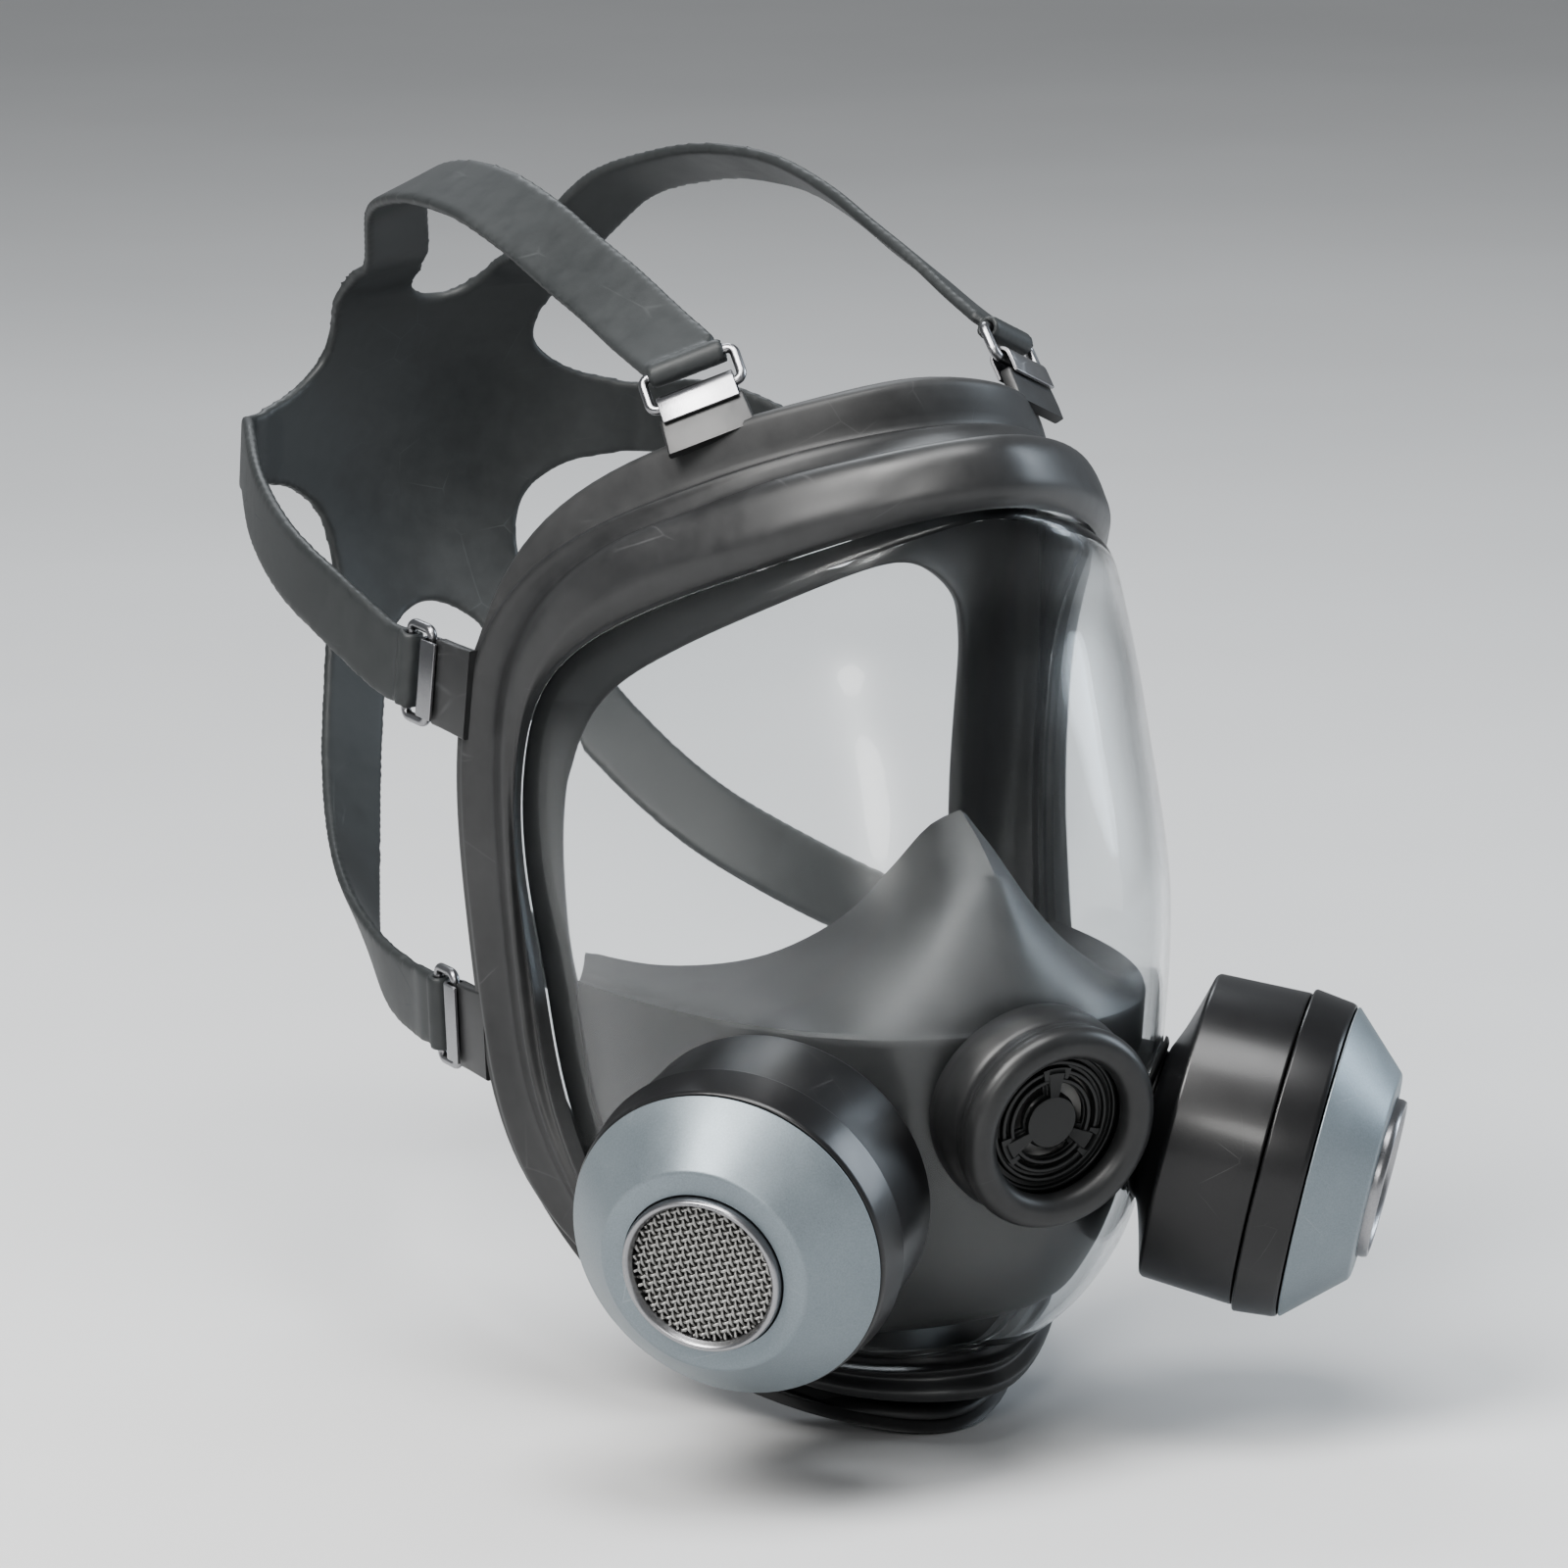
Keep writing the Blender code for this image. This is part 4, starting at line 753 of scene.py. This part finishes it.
seat = lathe("valve_seat", [(11.5, -11.3, 0.1), (19.2, -11.3, 0.2), (19.2, -9.6, 0.3), (12.4, -9.6, 0.2),
                            (12.4, -8.7, 0.3), (11.5, -8.7, 0.3)], NYLON, VM)
for k in range(3):
    bar = lathe("seat_spoke", [(0, 0, 0), (0.9, 0, 0.2), (0.9, 23.6, 0.2), (0, 23.6, 0)], NYLON,
                VM @ Matrix.Rotation(math.radians(60 * k), 4, "Z") @ Matrix.Translation((-0.0118, 0, -0.0104))
                @ Matrix.Rotation(math.radians(90), 4, "Y"), 16)
    cut(seat, [bar], "UNION")
place(seat, "mask", "black_nylon", "exhalation_seat")
place(lathe("valve_disc", [(0, -8.35), (14.5, -8.35, 0.3), (14.5, -7.6, 0.3), (2.0, -7.6, 0.4),
                           (1.6, -6.9, 0.3), (0, -6.9)], SILICONE, VM),
      "exhalation_flap", "silicone", "exhalation_flap")

# grille: a ringed disc with open arcs near the hub, and a hub with three T-shaped arms
def sector(name, r0, r1, a0, a1, z0, z1, n=24):
    vv = []
    for z in (z0, z1):
        for r in (r0, r1):
            for i in range(n):
                a = a0 + (a1 - a0) * i / (n - 1)
                vv.append((r * math.cos(a), r * math.sin(a), z))
    ff = []
    for i in range(n - 1):
        ff += [(i, i + 1, n + i + 1, n + i), (2 * n + i, 3 * n + i, 3 * n + i + 1, 2 * n + i + 1),
               (i, 2 * n + i, 2 * n + i + 1, i + 1), (n + i, n + i + 1, 3 * n + i + 1, 3 * n + i)]
    ff += [(0, n, 3 * n, 2 * n), (n - 1, 3 * n - 1, 4 * n - 1, 2 * n - 1)]
    return finish_mesh(name, vv, ff, NYLON, VM, 40)

prof = [(0, -4.4), (19.2, -4.4, 0.2), (19.2, -3.3, 0.2), (17.2, -3.3, 0.2)]
for r in (16.3, 13.9, 11.8, 9.7):
    prof += [(r + 0.62, -3.2, 0.2), (r + 0.5, -2.1, 0.35), (r - 0.5, -2.1, 0.35), (r - 0.62, -3.2, 0.2)]
prof += [(0, -3.2)]
cover = lathe("grille", prof, NYLON, VM, 128, 40)
THIRD = math.radians(120)
slots = []
for q in range(3):
    a0 = math.radians(90) + THIRD * q
    slots.append(sector("slot", 6.5, 8.9, a0 + 0.30, a0 + THIRD - 0.30, -6.0, 0.0))
    slots.append(sector("slot", 10.5, 11.1, a0 + 0.30, a0 + THIRD - 0.30, -6.0, 0.0))
cut(cover, slots)
adds = [lathe("grille_hub", [(0, -3.9), (6.1, -3.9, 0.2), (6.1, -1.6, 0.35), (0, -1.6)], NYLON, VM, 96, 40)]
for q in range(3):
    a = math.radians(90) + THIRD * q
    adds.append(sector("grille_arm", 4.5, 11.6, a - 0.17, a + 0.17, -3.9, -1.65, 6))
    adds.append(sector("grille_arm_end", 10.4, 12.9, a - 0.28, a + 0.28, -3.85, -1.68, 10))
cut(cover, adds, "UNION")
place(cover, "mask", "black_nylon", "valve_cover")

# ---- filters
def weave(name, m, radius, height, pitch_a, pitch_b, wire, turn, mat):
    # plain weave: two families of wires crossing over and under
    verts = []
    faces = []
    ring = 6
    ca, sa = math.cos(turn), math.sin(turn)
    for fam, (own, other) in enumerate(((pitch_a, pitch_b), (pitch_b, pitch_a))):
        count = int(radius / own)
        for k in range(-count, count + 1):
            c = (k + 0.25) * own
            if abs(c) > radius - 0.4:
                continue
            half = math.sqrt(radius * radius - c * c)
            n = max(int(2 * half / other * 4), 6)
            ts = np.linspace(-half, half, n)
            ph = 1 if (k % 2) else -1
            zs = height + ph * (1 if fam else -1) * wire * 0.92 * np.cos(math.pi * (ts / other - 0.25))
            base = len(verts)
            for t, z in zip(ts, zs):
                for b in range(ring):
                    ang = 2 * math.pi * b / ring
                    u, v_, w = (t, c + wire * math.cos(ang), z + wire * math.sin(ang))
                    if fam:
                        u, v_ = v_, u
                    verts.append((u * ca - v_ * sa, u * sa + v_ * ca, w))
            for i in range(n - 1):
                for b in range(ring):
                    e = (b + 1) % ring
                    faces.append((base + i * ring + b, base + i * ring + e, base + (i + 1) * ring + e,
                                  base + (i + 1) * ring + b))
            faces.append(tuple(base + b for b in range(ring)))
            faces.append(tuple(base + (n - 1) * ring + b for b in range(ring))[::-1])
    return finish_mesh(name, verts, faces, mat, m, 80)

for side, tag in SIDES:
    m = filter_frame(side)
    body = f"filter_{tag}"
    place(lathe(f"can_{tag}", [
        (NECK_R + 0.4, -34.6), (NECK_R + 0.4, -38.6, 0.2), (16.4, -38.6, 0.8), (21.5, -36.4, 4.0),
        (28.7, -34.2, 4.0), (34.7, -32.6, 0.3), (35.25, -31.9, 0.4), (36.2, -11.3, 0.3), (36.0, -10.9, 0.2),
        (34.8, -10.9), (33.6, -29.8), (31.4, -31.2), (17.6, -34.6)],
        ENAMEL, m, 160, 30), body, "black_enamel", f"filter_can_{tag}")
    place(lathe(f"neck_{tag}", [(NECK_R - 2.5, -33.0, 0.3), (NECK_R - 2.5, -50.0, 0.5), (NECK_R, -50.0, 0.6),
                                (NECK_R, -34.2), (16.6, -34.2, 0.3), (16.6, -33.0, 0.3)], ENAMEL, m, 96),
          body, "black_enamel", f"filter_neck_{tag}")
    place(lathe(f"band_{tag}", [
        (34.8, -10.5), (CAN_R + 0.1, -10.5, 0.2), (CAN_R + 0.4, -10.1, 0.3), (CAN_R - 0.6, -1.3, 0.4),
        (CAN_R - 1.0, -0.5, 0.3), (35.2, -0.4), (33.6, -0.4)],
        ENAMEL, m, 160, 30), body, "black_enamel", f"filter_band_{tag}")
    place(lathe(f"cone_{tag}", [
        (33.4, -0.1), (CONE_R - 0.2, -0.1, 0.1), (CONE_R, 0.25, 0.2), (FACE_R + 0.1, 12.9, 0.35),
        (FACE_R - 0.6, 13.2, 0.3), (18.6, 13.5, 0.15), (18.6, 10.2), (22.4, 10.2), (31.4, 1.2)],
        GREY, m, 160, 24), body, "grey_enamel", f"filter_cone_{tag}")
    place(lathe(f"bezel_{tag}", [
        (16.2, 9.8), (18.3, 9.8), (18.3, 14.9, 0.5), (17.9, 15.8, 0.5), (17.3, 15.9, 0.4), (16.8, 15.5, 0.4),
        (16.4, 14.6, 0.3), (16.2, 14.2, 0.2)], STEEL, m, 160), body, "bright_steel", f"filter_bezel_{tag}")
    gz = weave(f"gauze_{tag}", m, 16.1, 13.3, 1.72, 1.30, 0.40, math.radians(90 - 15 * side), WIRE)
    place(gz, body, "steel_gauze", f"filter_gauze_{tag}")
    place(lathe(f"backing_{tag}", [(0, 10.4), (16.1, 10.4, 0.2), (16.1, 12.0, 0.2), (0, 12.0)],
                BACKING, m, 64),
          body, "carbon_bed")
    place(lathe(f"pleats_{tag}", [(0, -10.0), (33.2, -10.0, 0.5), (33.2, -1.2, 0.5), (0, -1.2)],
                PAPER, m, 64),
          body, "pleated_paper", f"filter_pleats_{tag}")
    place(lathe(f"carbon_{tag}", [(0, -30.6), (30.6, -30.6, 0.5), (32.6, -28.8, 0.5), (33.6, -11.2, 0.5),
                                  (0, -11.2)], CARBON, m, 64),
          body, "carbon_bed", f"filter_carbon_{tag}")
    place(lathe(f"gasket_{tag}", [(NECK_R + 0.3, -40.9, 0.5), (15.4, -40.9, 0.5), (15.4, -38.9, 0.5),
                                  (NECK_R + 0.3, -38.9, 0.5)], NYLON, m, 96),
          f"filter_gasket_{tag}", "gasket_rubber", f"filter_gasket_{tag}")
    rows_p = []
    for i in range(TURN_SEG):
        a = 2 * math.pi * i / TURN_SEG
        h0 = land(m, a, 18.6)
        h1 = land(m, a, PORT_R + 0.2)
        top = -41.2
        prof = [(NECK_R + 0.35, top), (14.4, top), (14.9, top - 0.7), (15.2, 0.5 * (top + h0) + 0.8),
                (16.6, h0 + 1.5), (18.3, h0 + 0.9), (18.6, h0 + 0.25), (PORT_R + 0.1, h1 + 0.15),
                (PORT_R, h1 - 0.6), (PORT_R, -55.0), (NECK_R + 0.35, -55.0)]
        rows_p.append([(r * math.cos(a), r * math.sin(a), h) for r, h in prof])
    dense = curve_through(np.array(rows_p), 4, True, sharp=(0, 1, 6, 7, 8, 9, 10))
    place(finish_mesh(f"port_{tag}", dense.reshape(-1, 3), grid_faces(TURN_SEG, dense.shape[1], True, True),
                      NYLON, m, 50), "mask", "black_nylon", f"port_ring_{tag}")
    place(lathe(f"inlet_seat_{tag}", [(4.5, -58.0, 0.3), (15.6, -58.0, 0.5), (15.6, -55.3, 0.5),
                                      (4.5, -55.3, 0.3)], NYLON, m, 96),
          "mask", "black_nylon", f"inhalation_seat_{tag}")
    place(lathe(f"inlet_flap_{tag}", [(0, -59.1), (12.0, -59.1, 0.3), (12.0, -58.4, 0.3), (0, -58.4)],
                SILICONE, m, 96), f"inhalation_flap_{tag}", "silicone", f"inhalation_flap_{tag}")

# ---- tabs, sleeves, rings
TABS = {
    "top": ((41.8, 9.3, 106.7), (-0.04, 0.66, 0.745), (0.80, 0.50, -0.30)),
    "temple": ((78.3, 63.5, 44.0), (0.12, 0.98, 0.10), (-0.04, -0.08, 1.0)),
    "lower": ((73.2, 64.3, -36.0), (-0.02, 0.99, 0.03), (0.06, 0.0, 1.0)),
}

def tab_frame(where, side):
    o, d, w = TABS[where]
    o = Vector((side * o[0], o[1], o[2]))
    d = Vector((side * d[0], d[1], d[2])).normalized()
    w = Vector((side * w[0], w[1], w[2]))
    w = (w - d * w.dot(d)).normalized()
    n = d.cross(w).normalized()
    if n.dot(Vector((o.x, 0.0, o.z))) < 0:
        w, n = -w, -n
    return o, d, w, n

def local(o, d, w, n):
    m = Matrix((w, d, n)).transposed().to_4x4()
    m.translation = Vector(o) * MM
    return m

def box_loop(x, z, r, n=4):
    # rounded rectangle of half sizes x, z with corner radius r
    pts = []
    for cx, cz, a0 in ((x - r, z - r, 0), (-x + r, z - r, 90), (-x + r, -z + r, 180), (x - r, -z + r, 270)):
        for k in range(n):
            a = math.radians(a0 + 90 * k / (n - 1))
            pts.append((cx + r * math.cos(a), cz + r * math.sin(a)))
    return pts

def tab_mesh(name, m, deep):
    rows = []
    for y, x, z, r in ((deep - 6.0, 10.4, 1.2, 0.5), (deep - 3.0, 10.2, 1.45, 0.6), (deep, 10.1, 1.5, 0.7),
                       (0.5 * deep + 3.0, 10.0, 1.5, 0.7),
                       (6.6, 10.0, 1.5, 0.7), (7.2, 9.8, 1.3, 0.6), (7.4, 9.3, 0.9, 0.5)):
        rows.append([(px, y, pz) for px, pz in box_loop(x, z, r)])
    k = len(rows[0])
    faces = grid_faces(len(rows), k, False, True)
    faces += [tuple(range(k)), tuple(range((len(rows) - 1) * k, len(rows) * k))]
    return finish_mesh(name, np.array(rows).reshape(-1, 3), faces, FRAME_R, m, 50)

def sleeve_mesh(name, m):
    # sheet folded round the ring's bar, both ends crimped on the tab
    outer = [(5.8 - EYE_AT, 2.7), (-1.6, 2.7)]
    outer += [(2.7 * math.cos(math.radians(a)), 2.7 * math.sin(math.radians(a))) for a in range(90, -91, -15)]
    outer += [(-1.6, -2.7), (5.8 - EYE_AT, -2.7)]
    inner = [(5.8 - EYE_AT, -1.9), (-1.0, -1.9)]
    inner += [(1.75 * math.cos(math.radians(a)), 1.9 * math.sin(math.radians(a))) for a in range(-75, 76, 15)]
    inner += [(-1.0, 1.9), (5.8 - EYE_AT, 1.9)]
    prof = outer + inner
    k = len(prof)
    rows = []
    for x, s in ((-9.0, 0.18), (-8.85, 0.0), (8.85, 0.0), (9.0, 0.18)):
        rows.append([(x, y, z * (1 - s * 0.12)) for y, z in prof])
    faces = grid_faces(4, k, False, True) + [tuple(range(k)), tuple(range(3 * k, 4 * k))]
    ob = finish_mesh(name, np.array(rows).reshape(-1, 3), faces, STEEL, m, 35)
    md = ob.modifiers.new("edge", "BEVEL")
    md.width = 0.00012
    md.segments = 2
    md.limit_method = "ANGLE"
    md.angle_limit = math.radians(40)
    return ob

def ring_mesh(name, m):
    path = []
    cr = 1.9
    hw = RING_W / 2
    for cx, cy, a0 in ((hw - cr, cr, -90), (hw - cr, RING_L - cr, 0), (-hw + cr, RING_L - cr, 90),
                       (-hw + cr, cr, 180)):
        for s in range(9):
            a = math.radians(a0 + 90 * s / 8)
            path.append((cx + cr * math.cos(a), cy + cr * math.sin(a), a))
    rows = []
    for x, y, a in path:
        rows.append([(x + WIRE_R * math.cos(b) * math.cos(a), y + WIRE_R * math.cos(b) * math.sin(a),
                      WIRE_R * math.sin(b)) for b in np.linspace(0, 2 * math.pi, 16, endpoint=False)])
    faces = grid_faces(len(rows), 16, True, True)
    return finish_mesh(name, np.array(rows).reshape(-1, 3), faces, STEEL, m, 60)

for side, tag in SIDES:
    for where in TABS:
        o, d_, w_, n_ = tab_frame(where, side)
        m = local(o, d_, w_, n_)
        hm = local(o + d_ * EYE_AT, d_, w_, n_)
        place(tab_mesh(f"tab_piece_{where}_{tag}", m, TAB_FOOT[where]), "mask", "frame_rubber",
              f"tab_{where}_{tag}")
        place(sleeve_mesh(f"sleeve_piece_{where}_{tag}", hm), "mask", "bright_steel",
              f"sleeve_{where}_{tag}")
        place(ring_mesh(f"ring_piece_{where}_{tag}", hm), f"ring_{where}_{tag}", "bright_steel",
              f"ring_{where}_{tag}")

# ---- harness, one moulded piece
PLATE_C = 72.0
PLATE_R = 82.0
PLATE_OUT = [(0, 112), (6, 114), (9.5, 119), (11, 127.5), (32, 126), (31, 113), (28.5, 104), (29.5, 96),
             (38, 89.5), (52, 86), (52, 68), (38, 65), (28.5, 58), (25.5, 48), (26.5, 37), (33.5, 25),
             (16.5, 19), (9, 29), (0, 33)]
SHARP_OUT = (3, 4, 9, 10, 15, 16)
RIDGE_V = [0, 20, 50, 80, 100, 118, 132]
RIDGE_Y = [213, 224.5, 237, 238, 232.5, 221, 206]
RIDGE_Z = [3, 20, 47, 77, 96.5, 111, 120]

def on_head(u, v_):
    y = smooth1d(v_, RIDGE_V, RIDGE_Y)
    z = smooth1d(v_, RIDGE_V, RIDGE_Z)
    return np.stack([PLATE_R * np.sin(u / PLATE_R), y - PLATE_R * (1 - np.cos(u / PLATE_R)), z], -1)

def head_normal(u, v_):
    n = np.cross(on_head(u, v_ + 1) - on_head(u, v_ - 1), on_head(u + 1, v_) - on_head(u - 1, v_))
    n = unit(n)
    return n * np.sign(n[..., 1:2])

half_out = [(a, b, 0.0) for a, b in PLATE_OUT]
loop = np.array(half_out + [(-a, b, 0.0) for a, b, _ in half_out[1:-1]][::-1])
L0 = len(PLATE_OUT)
sharp = set(SHARP_OUT) | {2 * (L0 - 1) - i for i in SHARP_OUT}
loop = curve_through(loop, 10, True, sharp=sharp)[:, :2]
rhos = np.array([1.0, 0.97, 0.9, 0.8, 0.7, 0.6, 0.5, 0.4, 0.3, 0.2, 0.1])
uv = np.stack([np.stack([r * loop[:, 0], PLATE_C + r * (loop[:, 1] - PLATE_C)], 1) for r in rhos])
pts = on_head(uv[..., 0], uv[..., 1])
nn = head_normal(uv[..., 0], uv[..., 1])
c_p = on_head(np.array(0.0), np.array(PLATE_C))
c_n = head_normal(np.array(0.0), np.array(PLATE_C))
top = pts + nn * STRAP_T
Rr, Kk = pts.shape[:2]
verts = [*top.reshape(-1, 3), c_p + c_n * STRAP_T, *pts.reshape(-1, 3), c_p]
off = Rr * Kk + 1
faces = grid_faces(Rr, Kk, False, True) + grid_faces(Rr, Kk, False, True, off)
last = (Rr - 1) * Kk
for j in range(Kk):
    k = (j + 1) % Kk
    faces.append((last + j, last + k, Rr * Kk))
    faces.append((off + last + k, off + last + j, off + Rr * Kk))
    faces.append((j, off + j, off + k, k))
harness = finish_mesh("harness_web", verts, faces, STRAP_R)

ENDS = {"top": ((12, 127.5), (31, 126)), "temple": ((52, 86), (52, 68)), "lower": ((33.5, 25), (16.5, 19))}
INNER = {"top": (18, 108), "temple": (34, 77), "lower": (17, 42)}
VIA = {
    "top": [(30, 187, 137), (36, 166, 144), (38.5, 146, 147), (40.5, 121, 147), (41, 96, 142.5),
            (41, 77, 137), (41, 58, 131.8), (41, 40.8, 126.3)],
    "temple": [(64, 200, 76), (75, 172, 69), (82, 142, 61.5), (84, 112, 54.5)],
    "lower": [(35.5, 204, -1), (47, 180, -18), (58.5, 152, -28.5), (67, 122, -34.5), (71, 98, -36)],
}
strap_parts = []
for side, tag in SIDES:
    sg = np.array([side, 1, 1])
    for where in TABS:
        o, d_, w_, n_ = tab_frame(where, side)
        end = np.array(o + d_ * (EYE_AT + RING_L))
        dd = np.array(d_)
        p, q = (np.array(c, float) for c in ENDS[where])
        a3, b3 = on_head(*p), on_head(*q)
        na = head_normal(*(0.5 * (p + q)))
        mid2 = 0.5 * (p + q)
        inn = mid2 + (np.array(INNER[where], float) - mid2) * 0.55
        root = on_head(*inn) + head_normal(*inn) * STRAP_T / 2
        tipc = 0.5 * (a3 + b3) + na * STRAP_T / 2
        run = unit(tipc - root)
        w0 = unit(b3 - a3) * sg
        line = [root, tipc, tipc + run * 6.0] + [np.array(c, float) for c in VIA[where]]
        line = [c * sg for c in line]
        last = unit(line[-1] - end) if where == "top" else dd
        line += [end + last * 8.0, end + last * 2.0]
        line = even(curve_through(np.array(line), 16), 90)
        w1 = np.array(w_)
        if np.dot(w0, w1) < 0:
            w0 = -w0
        tang = unit(np.gradient(line, axis=0))
        rows = []
        prof = box_loop(STRAP_W / 2, STRAP_T / 2, 0.8, 4)
        for i, (pt, t) in enumerate(zip(line, tang)):
            fr = max((i / (len(line) - 1) - 0.08) / 0.92, 0.0)
            k = fr * fr * (3 - 2 * fr)
            ww = w0 * (1 - k) + w1 * k
            ww = unit(ww - t * np.dot(ww, t))
            nv = np.cross(t, ww)
            if where == "top":
                # the arch leans outwards between its ends
                roll = math.radians(24.0) * math.sin(math.pi * fr) * (1 - 0.35 * fr)
                s = -math.copysign(1.0, nv[2]) * math.copysign(1.0, ww[0] * side)
                cr, sr = math.cos(roll), s * math.sin(roll)
                ww, nv = ww * cr + nv * sr, nv * cr - ww * sr
            rows.append([pt + ww * x + nv * z for x, z in prof])
        k = len(prof)
        faces = grid_faces(len(rows), k, False, True)
        faces += [tuple(range(k)), tuple(range((len(rows) - 1) * k, len(rows) * k))]
        strap_parts.append(finish_mesh("strap_part", np.array(rows).reshape(-1, 3), faces, STRAP_R))
        em = local(end, d_, w_, n_)
        eye = lathe("strap_eye", [(1.5, -9.0), (2.95, -9.0), (2.95, 9.0), (1.5, 9.0)], STRAP_R,
                    em @ Matrix.Rotation(math.radians(90), 4, "Y"), 40)
        strap_parts.append(eye)

def join(obs):
    bm = bmesh.new()
    for ob in obs:
        me = ob.data.copy()
        me.transform(ob.matrix_world)
        bm.from_mesh(me)
        bpy.data.meshes.remove(me)
    me = bpy.data.meshes.new("joined")
    bm.to_mesh(me)
    bm.free()
    for ob in obs:
        bpy.data.objects.remove(ob, do_unlink=True)
    return me

bpy.context.view_layer.update()
me = join([harness] + strap_parts)
harness = bpy.data.objects.new("harness_web", me)
bpy.context.scene.collection.objects.link(harness)
md = harness.modifiers.new("union", "REMESH")
md.mode = "VOXEL"
md.voxel_size = HARNESS_VOXEL
md.adaptivity = 0.0
md = harness.modifiers.new("soft", "SMOOTH")
md.factor = 0.5
md.iterations = 6
apply_modifiers(harness)
harness.data.shade_smooth()
harness.data.materials.clear()
harness.data.materials.append(STRAP_R)
straps = [f"strap_{w}_{t}" for _, t in SIDES for w in TABS]
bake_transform(harness)
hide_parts("back_plate", *straps)

# ---- floor, lights, camera
def floor_material():
    m, nt, b = nodes_of("studio_floor")
    vec = coords(nt)
    col = ramp(nt, noise(nt, vec, 3.0, 3.0), [(0.3, (0.60, 0.60, 0.60)), (0.7, (0.64, 0.64, 0.64))])
    nt.links.new(col, b.inputs["Base Color"])
    b.inputs["Roughness"].default_value = 0.75
    return m

fz = cad_box[0][2] - 0.0002
me = bpy.data.meshes.new("floor")
s = 30.0
me.from_pydata([(-s, -s, fz), (s, -s, fz), (s, s, fz), (-s, s, fz)], [], [(0, 1, 2, 3)])
floor = bpy.data.objects.new("floor", me)
floor.data.materials.append(floor_material())
bpy.context.scene.collection.objects.link(floor)

def area(name, az, el, dist, size, power, colour, aim=(0.0, 0.06, 0.0)):
    a, e = math.radians(az), math.radians(el)
    pos = Vector(aim) + Vector((math.sin(a) * math.cos(e), -math.cos(a) * math.cos(e), math.sin(e))) * dist
    li = bpy.data.lights.new(name, "AREA")
    li.shape = "ELLIPSE"
    li.size, li.size_y = size
    li.energy = power
    li.color = colour
    ob = bpy.data.objects.new(name, li)
    turn = (Vector(aim) - pos).to_track_quat("-Z", "Y")
    ob.matrix_world = Matrix.Translation(pos) @ turn.to_matrix().to_4x4()
    bpy.context.scene.collection.objects.link(ob)
    return ob

area("key", -68, 48, 1.5, (0.7, 0.9), 26.0, (1.0, 0.985, 0.965))
area("rim", 75, 22, 1.5, (0.45, 1.0), 11.0, (0.80, 0.90, 1.0))
area("front", -36, 20, 1.9, (0.34, 0.34), 7.0, (1.0, 0.99, 0.97))
area("top", -20, 72, 1.6, (0.8, 0.8), 16.0, (1.0, 1.0, 1.0))
area("back", 160, 45, 1.8, (0.9, 0.6), 9.0, (0.92, 0.96, 1.0))
world = bpy.data.worlds.new("studio")
bpy.context.scene.world = world
world.use_nodes = True
world.node_tree.nodes["Background"].inputs["Color"].default_value = (0.62, 0.64, 0.66, 1)
world.node_tree.nodes["Background"].inputs["Strength"].default_value = 0.42

az, el, roll = (math.radians(q) for q in (-29.11, 11.45, -0.12))
b_ = np.array([math.sin(az) * math.cos(el), -math.cos(az) * math.cos(el), math.sin(el)])
r_ = unit(np.cross([0, 0, 1.0], b_))
u_ = np.cross(b_, r_)
rr = math.cos(roll) * r_ + math.sin(roll) * u_
uu = -math.sin(roll) * r_ + math.cos(roll) * u_
loc = (b_ * 56.71 + rr * -0.72 + uu * 0.71) * 0.035
cam = bpy.data.cameras.new("camera")
cam.lens = 202.5
cam.sensor_width = 36.0
cam.clip_start = 0.05
cam.clip_end = 100.0
camera = bpy.data.objects.new("camera", cam)
camera.matrix_world = Matrix(((rr[0], uu[0], b_[0], loc[0]), (rr[1], uu[1], b_[1], loc[1]),
                              (rr[2], uu[2], b_[2], loc[2]), (0, 0, 0, 1)))
bpy.context.scene.collection.objects.link(camera)
bpy.context.scene.camera = camera
bpy.context.scene.view_settings.view_transform = "AgX"
bpy.context.scene.view_settings.look = "AgX - Medium High Contrast"
